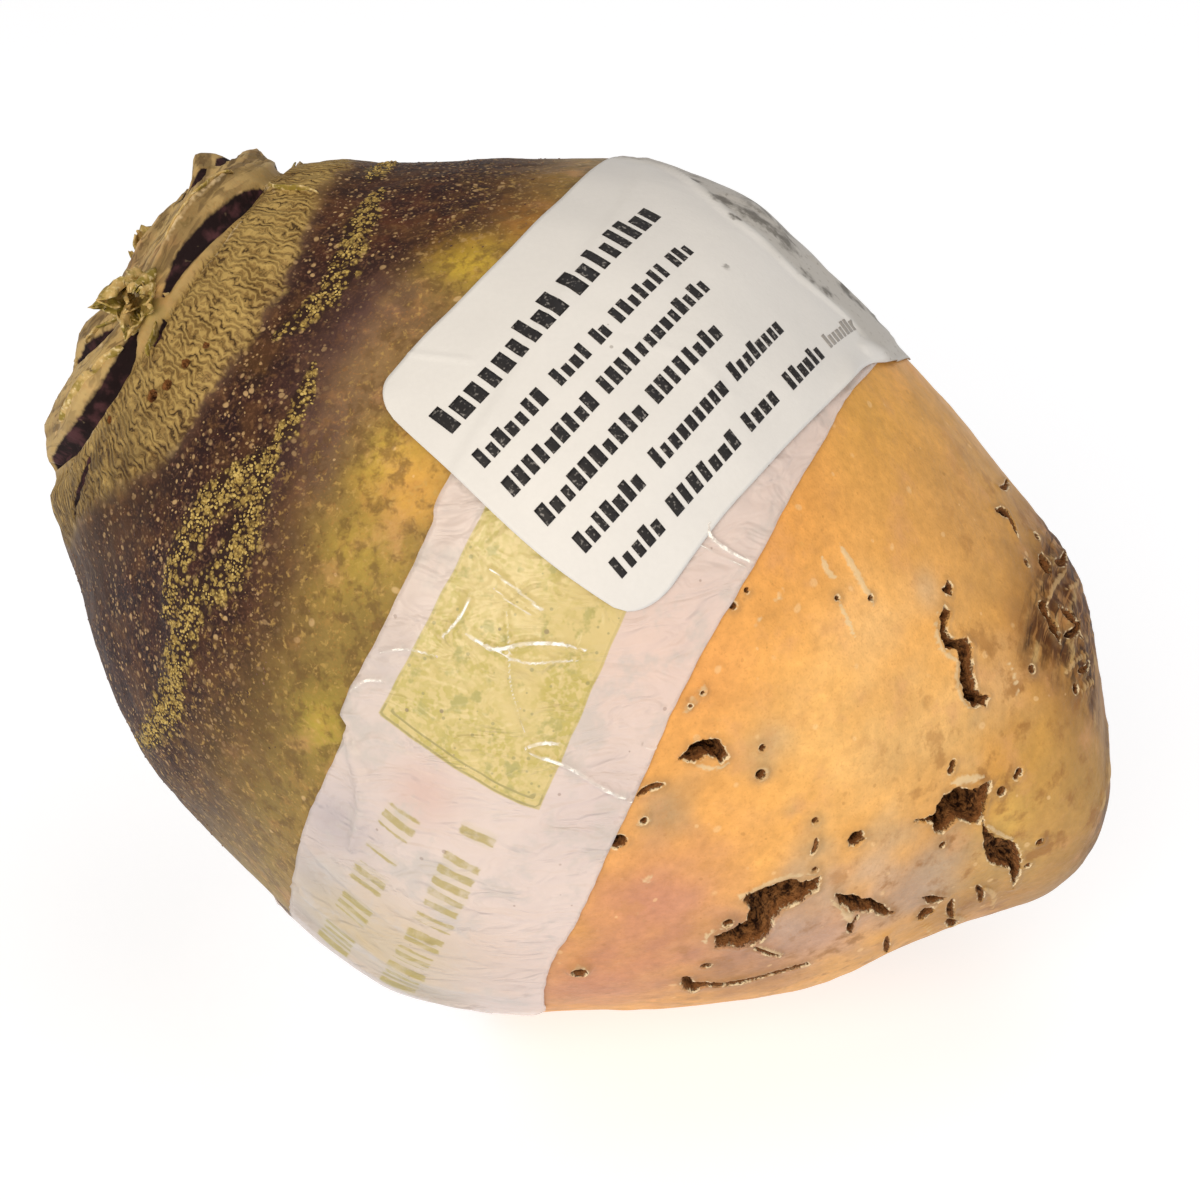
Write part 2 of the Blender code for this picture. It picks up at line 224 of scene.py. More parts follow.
def round_skin(reach, turn):
    """Places on the smooth body, before swellings and scars."""
    reach, turn = np.broadcast_arrays(np.asarray(reach, float), np.asarray(turn, float))
    share = np.interp(reach, OUTLINE_REACH, OUTLINE_SHARE)
    radius = np.clip(np.interp(reach, OUTLINE_REACH, OUTLINE_RADIUS), 0, None)[..., None]
    offset = np.interp(reach, OUTLINE_REACH, OUTLINE_OFFSET)[..., None]
    point, ahead, front, over = middle_line(np.interp(np.clip(share, 0, 1), LINE_SO_FAR, LINE_SHARE))
    point = point + ahead * LINE_LENGTH * np.minimum(share, 0)[..., None]
    angle = np.radians(turn)[..., None]
    place = point + over * offset + (front * np.cos(angle) + over * np.sin(angle)) * radius
    return place @ TO_WORLD.T + ROOT_MIDDLE


def skin_ways(reach, turn):
    """Three directions at places on the smooth body: along the root, round it and straight out."""
    reach = np.clip(reach, 2 * FACING_STEP, WHOLE_REACH - 2 * FACING_STEP)
    along = round_skin(reach + FACING_STEP, turn) - round_skin(reach - FACING_STEP, turn)
    across = round_skin(reach, turn + FACING_TURN) - round_skin(reach, turn - FACING_TURN)
    return unit(along), unit(across), unit(np.cross(along, across))


def noise_at(places, size, shift=0.0):
    """Smooth noise between about -1 and 1 at some places, with bumps of about this size."""
    rows = ((places - ROOT_MIDDLE) / size + shift).tolist()
    return np.array([noise.noise(row) for row in rows])


def ring_noise(reach, turn, reach_size, turn_size):
    """Noise that is stretched along or round the root: its size in reach and in degrees of turn."""
    around = math.degrees(1) / turn_size
    angle = np.radians(turn)
    rows = np.column_stack((around * np.cos(angle), around * np.sin(angle), reach / reach_size)).tolist()
    return np.array([noise.noise(row) for row in rows])


def bump_heights(reach, turn, places):
    """How far swellings, leaf scars, groove and corky band stand out of the smooth body."""
    height = UNEVEN_HEIGHT * noise_at(places, UNEVEN_SIZE) + SOFT_HEIGHT * noise_at(places, SOFT_SIZE, 1.0)
    for bump_reach, bump_turn, size, bump_height in SWELLINGS:
        apart = np.sum((places - round_skin(bump_reach, bump_turn)) ** 2, axis=-1)
        height += bump_height * np.exp(-apart / (2 * size * size))
    height += CORK_HEIGHT * swell((reach - CORK_REACH) / CORK_HALF_WIDTH)
    height -= GROOVE_DEPTH * swell((reach - GROOVE_REACH) / GROOVE_HALF_WIDTH)
    for scar_reach, scar_turn, half_length, half_width, scar_height in LEAF_SCARS:
        height += (
            scar_height
            * swell(turn_between(turn, scar_turn) / half_length)
            * swell((reach - scar_reach) / half_width)
        )
    return height


def skin(reach, turn, out=0.0):
    """Places on the root's skin without its fine relief, or this far outside it."""
    reach, turn = np.broadcast_arrays(np.asarray(reach, float), np.asarray(turn, float))
    shape = reach.shape
    reach, turn = reach.ravel(), turn.ravel()
    places = round_skin(reach, turn)
    height = bump_heights(reach, turn, places) + np.broadcast_to(out, shape).ravel()
    return (places + skin_ways(reach, turn)[2] * height[:, None]).reshape(*shape, 3)


# Pits that insects ate in the skin: depth, then the rim as reach and turn.
PITS = (
    (4.5, (129.7, -13.9), (130.3, -11.9), (131.5, -10.9), (134.3, -10.3), (135.8, -12), (135.3, -13.3),
     (133.4, -12.8), (131.4, -13.9)),
    (4, (161.4, 22), (162.9, 21.6), (162.4, 20.2), (163.3, 18), (164.4, 17), (165.6, 17.4),
     (167.2, 18.6), (168.6, 17.6), (169.4, 14.5), (170, 11.5), (171.3, 9), (173.9, 8.8), (173.6, 6.6),
     (171.6, 5.4), (169.4, 6.8), (167.6, 10), (167.2, 13.5), (165.4, 15.5), (163.7, 14.9), (161.8, 17.4),
     (161.2, 19.6)),
    (5.5, (167.3, -20.2), (170.2, -19.3), (170.8, -14.2), (173, -12.8), (175.8, -13.2), (178.3, -10.8),
     (179, -14.8), (179.3, -19.6), (179, -22.5), (177, -22), (175, -21), (173.3, -24.5),
     (171.7, -23.6), (170.9, -21.3)),
    (3, (179.4, -21.5), (181, -25.3), (183.7, -27.6), (186.4, -30), (188.2, -34), (189.2, -40),
     (190.2, -47), (190.1, -54.5), (188.9, -47), (187.6, -41), (185.6, -39), (183.3, -36),
     (181.6, -31), (180.4, -26.5)),
    (4, (157.3, -23.4), (157.8, -22), (159.2, -21.9), (159.8, -23.2), (159.2, -24.7), (157.8, -24.7)),
    (5, (146, -34.5), (148, -33.3), (150, -32), (151.5, -31.4), (153, -32.3), (155.3, -31),
     (155.7, -34.5), (154, -37), (151.9, -38.6), (151.3, -41), (151.6, -44), (151, -47),
     (148.4, -48.2), (145, -47.5), (143.9, -44.3), (146.2, -42.2), (147.6, -40.6), (147.2, -38),
     (145.8, -36.2)),
    (3.5, (158.8, -35.8), (161, -36.5), (165, -39.3), (168, -43), (170.4, -47.6), (168.3, -47),
     (166.6, -44.2), (163.4, -42.3), (160.5, -39.3)),
    (3, (174.3, -44.6), (176.5, -45.6), (178.6, -48.4), (177.6, -49.4), (175.4, -47.6)),
    (3, (175.6, -50.8), (177, -51.2), (177.6, -54.5), (176.8, -57), (175.4, -56), (175.1, -53)),
    (3, (142.6, -57), (143.8, -57.6), (144.6, -59.6), (146.2, -60), (148.4, -61.6), (151, -61),
     (155, -58.9), (159.5, -58), (160, -59.4), (155.4, -60.6), (151.4, -63.2), (148.6, -63.6),
     (146.4, -62.4), (145.3, -65.2), (144, -63), (143.2, -60.4)),
    (3, (179.4, 38.6), (180.6, 40.6), (181.9, 38.6), (183.6, 36.8), (185.2, 35.4), (185.3, 32.2),
     (183.6, 32.8), (181.8, 35.2), (180.2, 36.6)),
    (2.4, (183.8, 43.8), (186.2, 46.6), (189.6, 47.2), (191.2, 44.6), (188.6, 43.6), (186, 43)),
    (3, (177.9, 53.6), (178.6, 55.8), (180.4, 54.9), (180.9, 51.6), (179.6, 50.4), (178.2, 51.6)),
    (1.6, (167, 52.6), (168.4, 55.4), (170, 57), (171.6, 54.8), (173, 51.8), (171.8, 52.2),
     (170, 54.6), (168.6, 53)),
    (1.6, (160.3, 25), (161, 27.2), (162.1, 26.9), (162.2, 25.2), (161.2, 24.6)),
    (2.6, (158, 133), (160.5, 130.2), (164, 131.4), (166, 128), (167, 130.6), (163.4, 135),
     (159.8, 135.6)),
    (2.4, (171, -128), (173.6, -132.4), (177.4, -133), (175.4, -129.6), (173.2, -126.2)),
)

# Round holes in the skin: reach, turn, radius and depth.
HOLES = (
    (126.2, -27.5, 1.1, 2.2),
    (128.2, -23.6, 0.5, 1),
    (141, -13.7, 0.7, 1.4),
    (140, -9.9, 0.45, 0.8),
    (128.4, 7.4, 0.5, 1),
    (129.5, 10, 0.35, 0.7),
    (128.9, -4.6, 0.3, 0.6),
    (128, -6.7, 0.25, 0.5),
    (145, -53.5, 0.75, 1.6),
    (128.7, -53.9, 1.1, 2),
    (151.3, -20, 0.45, 0.9),
    (148.3, 16.7, 0.4, 0.8),
    (143.2, 14.3, 0.35, 0.7),
    (154, -29.4, 0.4, 0.8),
    (144.8, -40.7, 0.7, 1.4),
    (180.9, -13.3, 0.7, 1.2),
    (183, -7.7, 0.6, 1),
    (182.8, -8.9, 0.5, 1),
    (170.6, -7.4, 0.55, 0.9),
    (170.6, -8.8, 0.55, 0.9),
    (174, -27.8, 0.5, 1),
    (191, -30, 0.6, 1),
    (190.7, -41, 0.5, 0.9),
    (180.6, 19.5, 0.6, 0.7),
    (190.8, 23.5, 0.8, 0.9),
    (175.6, 47, 0.6, 0.8),
    (176.8, 60, 0.6, 0.9),
    (151, 158, 1, 2),
    (169, 170, 0.8, 1.4),
    (142, 112, 0.6, 1),
    (136, -150, 0.9, 1.6),
    (158, -158, 0.6, 1),
    (186, 148, 0.8, 1),
    (183, -108, 0.7, 1.2),
)

# Slits and narrow grooves of the lower body: half width, depth, then the course.
SLITS = (
    (0.45, 1.2, (126, -20.2), (127.2, -18.8), (128.8, -18)),
    (0.3, 0.8, (152.4, -23.2), (152.7, -24.6), (152.6, -26.2)),
    (0.45, 1.2, (150.4, -48.4), (152.6, -50.6), (154.7, -52.9)),
    (0.55, 1.4, (163.9, -43.6), (163.6, -46.4), (164.4, -50.2)),
    (0.5, 1, (179.8, -50), (180.4, -56), (181.6, -63)),
    (0.8, 1.6, (181.2, -64), (182.4, -70), (183.4, -78)),
    (0.45, 0.8, (183, -46), (184.6, -52), (185.4, -58)),
    (0.45, 0.8, (171, -58), (171.8, -64), (172.6, -70)),
    (0.4, 0.7, (167.4, 62), (168.8, 66), (169.2, 72)),
    (0.6, 1, (181.4, 58), (183.4, 64), (184.2, 74)),
    (0.6, 1.1, (186.2, 36), (188.2, 41), (189.6, 49)),
    (0.5, 0.9, (190.8, 30), (193, 36), (194.6, 44)),
)

# Raised spots: reach, turn, radius and height.
WARTS = (
    (128.9, -4.4, 1, 0.45),
    (128.2, -6, 1, 0.45),
    (127.9, -7.2, 0.8, 0.35),
    (128.2, -23.6, 1.4, 0.4),
    (131.8, -32.9, 1.3, 0.4),
    (134.4, 11.4, 0.9, 0.3),
    (133, 6.7, 0.8, 0.25),
    (128.8, -53.8, 2.1, 0.55),
    (141.2, -13.6, 1.5, 0.3),
    (144.8, -40.9, 1.5, 0.35),
    (140, 160, 1.4, 0.4),
    (154, -145, 1.2, 0.35),
    (148, 104, 1.1, 0.3),
)

# Pale torn edges and scratches of the lower body: half width, height, then the course.
PALE_TEARS = (
    (0.42, 0.3, (130, -14.7), (132.6, -14.6), (135.4, -14), (136.4, -12.6)),
    (0.45, 0.35, (160.4, 20.6), (161, 17), (163.4, 13.9), (166.2, 13.2), (167, 9.6), (169, 6), (171.2, 4.7)),
    (1.2, 0.45, (171.4, -11.6), (173.6, -10.8), (176.9, -9.9)),
    (0.5, 0.3, (180.2, -22.6), (182.4, -25.3), (185.8, -28.3)),
    (0.48, 0.4, (144.9, -38.6), (144.9, -35.6), (147.2, -32.9), (150.4, -30.9), (154.6, -30.1)),
    (0.45, 0.3, (143.2, -46.4), (143.1, -43.8), (145, -41.9)),
    (0.55, 0.5, (147.2, -42.1), (149.2, -41), (151.2, -38.9)),
    (1.1, 0.45, (161, -40.6), (162.4, -42.8), (163.2, -45.2)),
    (0.45, 0.3, (158.4, -37), (159.8, -39), (161.6, -41.4)),
    (0.95, 0.2, (140.8, 22), (144.8, 19.4), (149.3, 15.8)),
    (0.55, 0.12, (143.3, 14.2), (145.6, 12.2), (148.2, 9.6)),
    (0.8, 0.08, (138.8, 19), (140.4, 17.4), (142.2, 17)),
    (0.45, 0.25, (150.6, -47.8), (152.8, -49.8), (155.2, -52.2)),
    (0.4, 0.15, (176.4, 18), (178.4, 14.4), (179.6, 10.6)),
    (0.5, 0.3, (157.2, 131.6), (160.2, 128.8), (164.2, 129.6)),
)

# The scarred patch beside the tail: the turn of its middle and half its width.
SCAR_TURN = 56.0
SCAR_HALF = 33.0

# The scratches among them, where the skin is finer.
SCRATCHES = PALE_TEARS[9:12]

# Fibrous streaks towards the tail: half width, height, then the course.
TAIL_FIBRES = (
    (0.7, 0.45, (181, 40), (182.4, 50), (184.4, 62)),
    (0.6, 0.4, (187.6, 24), (190, 33), (193.6, 44)),
    (0.7, 0.45, (191.8, 24), (194.4, 33), (197, 42)),
    (0.6, 0.35, (185.2, 54), (187.2, 62), (188.4, 72)),
    (0.6, 0.35, (180.4, -60), (182.8, -66), (185, -76)),
    (0.7, 0.4, (184.4, -48), (187.2, -56), (188.6, -70)),
    (0.5, 0.3, (176.8, -60), (178.8, -68), (180, -78)),
    (0.8, 0.5, (196, 110), (198, 124), (199, 140)),
    (0.7, 0.4, (203, -20), (205, 20), (205, 60)),
    (0.7, 0.45, (207, 100), (208, 150), (207, 200)),
    (0.7, 0.4, (199, -96), (201, -120), (200, -150)),
)

# Gaps between the leaf bases on the crown, sunk and painted dark as shade: half width, depth, then the
# course.
CROWN_GAPS = (
    (1.5, 1.7, (30.2, 54), (29.3, 42), (28.4, 28), (27.8, 14), (28.6, 2)),
    (2, 2.1, (25.6, -8), (27.6, -13), (29.2, -24), (29.5, -38), (29.4, -54), (29, -68), (29.6, -84)),
    (1.3, 1.3, (30.4, -2), (31.8, -4.5), (33.2, -7)),
    (1.4, 1.4, (9.2, 46), (10.6, 64), (11.6, 86), (12.4, 110)),
    (1, 1, (14, 43), (15.6, 52), (16.4, 62)),
    (0.8, 0.9, (34.8, -43), (36, -51), (37.4, -62)),
    (0.8, 0.9, (22.4, 46), (21.2, 34), (20.2, 20), (19.4, 8)),
    (0.7, 0.7, (14.6, 30), (15.4, 14), (15.6, 0)),
    (0.9, 1, (23.4, -24), (23.6, -38), (23.2, -52), (23.6, -66)),
    (0.8, 0.8, (12.6, -30), (12, -50), (12.6, -74)),
    (0.9, 1, (18.4, 66), (19.6, 80), (20.6, 98)),
    (1.3, 1.5, (20.4, -26), (18.8, -38), (18.2, -54), (18.4, -72)),
    (1.3, 1.5, (29.2, 76), (29.8, 92), (29.4, 112), (28.6, 134)),
    (1.2, 1.5, (28.6, 146), (29, 168), (29.6, 192), (29, 214)),
    (1.5, 1.7, (29.8, 226), (29.2, 244), (29.4, 262)),
    (1.1, 1.2, (19.8, 112), (19, 134), (19.6, 156)),
    (1.2, 1.3, (20.6, 172), (19.6, 196), (20.2, 222)),
    (1.2, 1.2, (19, 240), (18.2, 262), (18.8, 282)),
    (1, 1.2, (5.2, 150), (4.4, 200), (5, 260), (5.4, 320)),
    (1, 1.2, (10.4, 140), (10.8, 176), (10.2, 214)),
)

# Raised rims of the leaf bases on the crown: half width, height, then the course.
CROWN_RIMS = (
    (0.7, 0.7, (25.4, 50), (24.6, 38), (24.2, 24), (24, 8)),
    (0.6, 0.6, (30.4, 58), (32.4, 51), (36.6, 50.4), (41, 50.6)),
    (0.6, 0.5, (26.4, -26), (26.6, -38), (26.8, -52)),
    (0.6, 0.5, (32.4, -16), (32.6, -28), (32.4, -42), (32.8, -58)),
    (0.5, 0.5, (32.6, 40), (32, 26), (31.8, 12)),
    (0.5, 0.4, (21.4, -32), (20.6, -44), (20.8, -58)),
    (0.7, 0.6, (32.4, 84), (32.8, 104), (32.2, 126)),
    (0.7, 0.6, (32.2, 152), (32.6, 176), (32.8, 204)),
    (0.6, 0.6, (32.6, 232), (32.4, 250), (32.6, 266)),
    (0.5, 0.5, (25.4, 96), (25, 116), (25.4, 136)),
    (0.5, 0.5, (25.2, 164), (25, 186), (25.6, 208)),
)

# Small brown holes in the corky band: reach, turn, radius and depth.
CORK_HOLES = (
    (40, -3.5, 0.7, 0.9),
    (39.5, -10, 0.8, 1),
    (38.5, -14.5, 0.9, 1.1),
    (34, -30, 0.6, 0.7),
    (41, 2.5, 0.5, 0.6),
    (38, 96, 0.8, 1),
    (36.8, 158, 0.7, 0.9),
    (39.4, 204, 0.8, 1),
)

# Netted streaks on the purple shoulder: half width, then the course. Their crumbs spread wider.
NET_SPREAD = 2.1
NET_STREAKS = (
    (2, (60, -3), (57.4, -14), (56.2, -22), (57.2, -31), (59.4, -41)),
    (2.1, (61, -4), (63, -15), (64, -22), (62.6, -33), (64, -42), (66.4, -52), (66.4, -62), (65.4, -78)),
    (1.5, (50.6, 56), (51, 46), (52.4, 37), (53.6, 27), (52, 19), (50, 12)),
    (1.1, (58, 12), (60, 4), (60, -3)),
    (1.2, (48, 60), (47.4, 72), (48.6, 84)),
    (1.8, (57, 96), (60, 112), (58.4, 130), (61, 148)),
    (1.6, (62, 150), (60, 170), (63, 190), (61.4, 212)),
    (1.8, (56.4, 226), (59.4, 240), (62.4, 256), (60, 270)),
)

# Colours of the skin along its reach.
SKIN_COLOURS = (
    (0, "B49A6A"),
    (27, "B09562"),
    (42, "987E4A"),
    (47, "6E5644"),
    (52, "5A423E"),
    (62, "5E4540"),
    (69, "6E543E"),
    (76, "80683A"),
    (86, "86703A"),
    (98, "A08042"),
    (110, "C8964C"),
    (128, "E2A45A"),
    (150, "E7AB5C"),
    (166, "DEA65C"),
    (180, "C69046"),
    (194, "B08348"),
    (206, "947044"),
    (217, "6E5638"),
)

# Patches of other colours: reach, turn, size, strength and colour.
PATCHES = (
    (50, 5, 1.5, 0.9, "A8953E"),
    (71, 38, 5, 0.92, "CDAE3A"),
    (76.5, 4, 4.2, 0.8, "C8AC44"),
    (79, -9, 5.5, 0.88, "A68C3E"),
    (86, -32, 3.6, 0.8, "A8963A"),
    (82, 2, 4.6, 0.9, "D8A450"),
    (77, 49, 5.5, 0.85, "A2722E"),
    (74, 62, 5, 0.6, "96702E"),
    (66, 12, 5, 0.6, "866A4C"),
    (71, 19, 6, 0.6, "96784A"),
    (76, -66, 9, 0.6, "66503C"),
    (56, 46, 8, 0.5, "9C7048"),
    (34, 66, 4.5, 0.8, "7E6430"),
    (33, 84, 5, 0.7, "6A5634"),
    (38.5, -62, 2.6, 0.8, "8C7432"),
    (26.5, -4, 2.6, 0.7, "8E7E34"),
    (134, -38, 9, 0.8, "C0866A"),
    (132, -60, 12, 0.85, "BA8068"),
    (150, -50, 7, 0.8, "B88672"),
    (160, -48, 8, 0.85, "B89482"),
    (154, -66, 7, 0.5, "A67A5C"),
    (172, -40, 6.5, 0.8, "B2947E"),
    (184, -22, 4, 0.55, "D8B458"),
    (188, 4, 8, 0.35, "C8A050"),
    (176, 30, 3.4, 0.65, "9C6E3C"),
    (184, 52, 7, 0.8, "80542C"),
    (184, 68, 9, 0.75, "7A5230"),
    (193, 30, 6, 0.55, "946A3A"),
    (176, 62, 6, 0.5, "A07A4A"),
    (181, 33, 3.2, 0.75, "7E5730"),
    (186, 21, 3, 0.6, "8C643A"),
    (178, 44, 4, 0.6, "8E6636"),
    (168, 34, 2.6, 0.4, "B08850"),
    (196, 4, 4, 0.5, "93693A"),
    (188, -3, 6, 0.4, "C09248"),
    (199, -12, 7, 0.45, "A87E3E"),
    (190, 16, 4, 0.6, "936632"),
    (193, 10, 5, 0.5, "A87C40"),
    (142, -46, 5, 0.5, "A87A5E"),
    (135, -37, 5, 0.55, "C88C72"),
    (160, 68, 16, 0.45, "A8864E"),
    (157.5, 23.5, 2.6, 0.55, "C4B094"),
    (141, -12.6, 2.2, 0.55, "A08C6C"),
    (137.6, -10.4, 2.2, 0.35, "A8906C"),
    (131, -19, 2.6, 0.35, "B8946A"),
    (151.4, -20.6, 1.5, 0.45, "A09070"),
    (152.8, -25, 1.7, 0.5, "A09476"),
    (147.6, -18.8, 1, 0.5, "8E7E60"),
    (162, -22, 2.6, 0.45, "BCA27E"),
    (166, -23, 2.4, 0.45, "B49A74"),
    (173, -7, 2.2, 0.4, "B89868"),
    (174, -18, 5, 0.35, "9C7A54"),
    (149, -40, 6.5, 0.4, "B48A66"),
    (158.6, -36, 2.4, 0.55, "A89A8C"),
    (150, -60, 6.5, 0.6, "8A6444"),
    (184, -58, 6, 0.5, "8A6A48"),
    (172.4, 2.6, 1.1, 0.8, "8A6A40"),
    (180.6, 20, 1.6, 0.6, "8A6238"),
    (206, 30, 12, 0.3, "86683E"),
    (146, -4, 8, 0.6, "E8B872"),
    (158, -8, 7, 0.6, "E4B97A"),
    (175.5, 13, 5, 0.55, "DCB07E"),
    (168, 2, 6, 0.5, "E4BC7E"),
    (130, 22, 9, 0.5, "D8944A"),
    (129, -2, 6, 0.5, "DC9A5A"),
    (146, 34, 9, 0.45, "D29C58"),
    (138, 46, 9, 0.5, "C89A48"),
    (150, 12, 6, 0.45, "ECC48C"),
    (160, 44, 9, 0.45, "C09058"),
    (130.6, -22.6, 3.4, 0.7, "A28E70"),
    (141, -8.6, 2.4, 0.5, "A89C80"),
    (152.6, -30, 3.2, 0.55, "A89A84"),
    (154, -43, 4.6, 0.6, "A6948A"),
    (163, -30, 4, 0.5, "B8A490"),
    (176, -34, 4, 0.6, "A89884"),
    (175, -47, 3.4, 0.6, "9C8C80"),
    (186, -38, 6, 0.5, "BA9C62"),
    (196, -10, 9, 0.4, "C09A58"),
    (138, -50, 4, 0.5, "BE8068"),
    (140, 150, 16, 0.45, "D8A07C"),
    (160, -130, 14, 0.45, "CA9A7A"),
    (187, 160, 9, 0.6, "7A5834"),
    (190, -120, 8, 0.55, "8A6640"),
    (80, 130, 9, 0.6, "A08C3A"),
    (78, -150, 8, 0.55, "A28E3C"),
    (128, -160, 10, 0.4, "DC9E74"),
)

GROUND_SPREAD = 0.35
PIT_WALL = 0.75
SLIT_WALL = 0.5
RAGGED = ((1.5, 0.34), (0.6, 0.24), (0.3, 0.1))


def paint(code):
    """A linear colour from a six-digit code of a screen colour."""
    values = np.array([int(code[start:start + 2], 16) for start in (0, 2, 4)]) / 255
    return np.where(values <= 0.04045, values / 12.92, ((values + 0.055) / 1.055) ** 2.4)


def colour_of(code):
    """The same with full cover, for a node socket or a property."""
    return (*(float(value) for value in paint(code)), 1.0)


def distance_to_path(places, course):
    """Shortest distance from each place to a course of points, and how far along it that is."""
    best = np.full(len(places), np.inf)
    along = np.zeros(len(places))
    for number, (start, end) in enumerate(zip(course, course[1:])):
        step = end - start
        share = np.clip((places - start) @ step / (step @ step), 0, 1)
        distance = np.linalg.norm(places - start - share[:, None] * step, axis=1)
        nearer = distance < best
        best[nearer] = distance[nearer]
        along[nearer] = (number + share[nearer]) / (len(course) - 1)
    return best, along


def near_reach(reach, path, margin):
    """Which places lie near a path's stretch of the root."""
    ends = [point[0] for point in path]
    return np.flatnonzero((reach > min(ends) - margin) & (reach < max(ends) + margin))


def course_apart(places, path):
    """Distances to a smooth course along the skin, and how full its width is there."""
    points = curve_through(path, 5)
    distance, along = distance_to_path(places, round_skin(points[:, 0], points[:, 1]))
    return distance, np.sqrt(np.clip(np.minimum(along, 1 - along) * 4, 0.08, 1))


def course_field(reach, places, half_width, path):
    """1 on a course along the skin, 0 from its half width outwards."""
    field = np.zeros(len(places))
    near = near_reach(reach, path, 2 * half_width + 2)
    distance, fullness = course_apart(places[near], path)
    field[near] = swell(distance / (half_width * fullness))
    return field


def rim_apart(reach, turn, places, rim):
    """Distances to a pit's rim, negative inside it."""
    corners = np.array((*rim, rim[0]))
    distance, _ = distance_to_path(places, round_skin(corners[:, 0], corners[:, 1]))
    turn = corners[0, 1] + turn_between(turn, corners[0, 1])
    inside = np.zeros(len(places), bool)
    for (reach_a, turn_a), (reach_b, turn_b) in zip(corners, corners[1:]):
        if turn_a != turn_b:
            crossing = reach_a + (reach_b - reach_a) * (turn - turn_a) / (turn_b - turn_a)
            inside ^= ((turn_a > turn) != (turn_b > turn)) & (reach < crossing)
    return np.where(inside, -distance, distance)


def pits_apart(reach, turn, places, ragged=True):
    """Distance to the nearest pit, hole or slit, negative inside it, and how deep the skin is there."""
    apart = np.full(len(places), 9.0)
    depth = np.zeros(len(places))

    def dig(near, distance, deep, wall):
        apart[near] = np.minimum(apart[near], distance)
        depth[near] = np.maximum(depth[near], deep * ease(-distance, -0.12, wall))

    for deep, *rim in PITS:
        near = near_reach(reach, rim, 3)
        distance = rim_apart(reach[near], turn[near], places[near], rim)
        close = np.abs(distance) < 2.5
        if ragged:
            for size, height in RAGGED:
                distance[close] += height * noise_at(places[near][close], size)
        dig(near, distance, deep, PIT_WALL)
    for hole_reach, hole_turn, radius, deep in (*HOLES, *CORK_HOLES):
        near = near_reach(reach, ((hole_reach, hole_turn),), radius + 3)
        middle = round_skin(hole_reach, hole_turn)
        dig(near, np.linalg.norm(places[near] - middle, axis=1) - radius, deep, 0.6 * radius)
    for half_width, deep, *path in SLITS:
        near = near_reach(reach, path, 3)
        distance, fullness = course_apart(places[near], path)
        dig(near, distance - half_width * fullness, deep, SLIT_WALL)
    return apart, depth


# How gently the patches of colour end.
PATCH_SOFTNESS = 1.4


def patched(places, painted, patches, wander=1):
    """Colours with soft patches of other colours over them."""
    for patch_reach, patch_turn, size, strength, code in patches:
        apart = np.linalg.norm(places - round_skin(patch_reach, patch_turn), axis=1) * wander
        share = (strength * np.exp(-((apart / size) ** 2) / PATCH_SOFTNESS))[:, None]
        painted += (paint(code) - painted) * share
    return painted


def skin_paint(reach, places):
    """The colour of the skin before its fine speckle."""
    shifted = reach + 3.4 * noise_at(places, 15.0, 4.0) + 1.6 * noise_at(places, 5.0, 9.0)
    along = np.clip(np.where(reach < 44, reach, shifted), 0, WHOLE_REACH)
    stops = [stop for stop, _ in SKIN_COLOURS]
    colours = np.array([paint(code) for _, code in SKIN_COLOURS])
    painted = np.column_stack([np.interp(along, stops, colours[:, part]) for part in range(3)])
    wander = 1 + GROUND_SPREAD * noise_at(places, 4.0, 2.0)
    return patched(places, painted, PATCHES, wander)


# The film's two edges: turn, then the reach of the edge.
FILM_CROWN_EDGE = (
    (-180, 79), (-150, 77), (-125, 79), (-100, 88), (-86, 93.8), (-77, 93.2), (-69, 92.3), (-62, 91.5),
    (-56, 90.7), (-47, 89.8), (-37, 89.4), (-31, 89.1), (-29.4, 88.6), (-28.6, 87.3), (-18, 87), (-10, 86.7),
    (-1.5, 86.3), (2.7, 85.3), (20, 86.5), (40, 88), (60, 90), (80, 90), (110, 88), (145, 83),
    (180, 79), (210, 77),
)
FILM_TAIL_EDGE = (
    (-180, 120.5), (-150, 115), (-125, 115.6), (-100, 121.6), (-77, 127.5), (-66, 126.5), (-60, 125.7),
    (-51.5, 124.8), (-43, 125.3), (-31, 125.4), (-18, 125.7), (-6, 126.1), (2.7, 127), (8.5, 128.2),
    (15, 129.4), (24, 130.7), (36, 133.2), (44, 134.4), (60, 138.8), (80, 141.6), (110, 137), (145, 127),
    (180, 120.5), (210, 115),
)
FILM_STRIPS = 60
FILM_TURN_STEPS = ((-180, 1.7), (-98, 0.6), (50, 1.7))
FILM_GAP = 0.20
FILM_THICK = 0.11
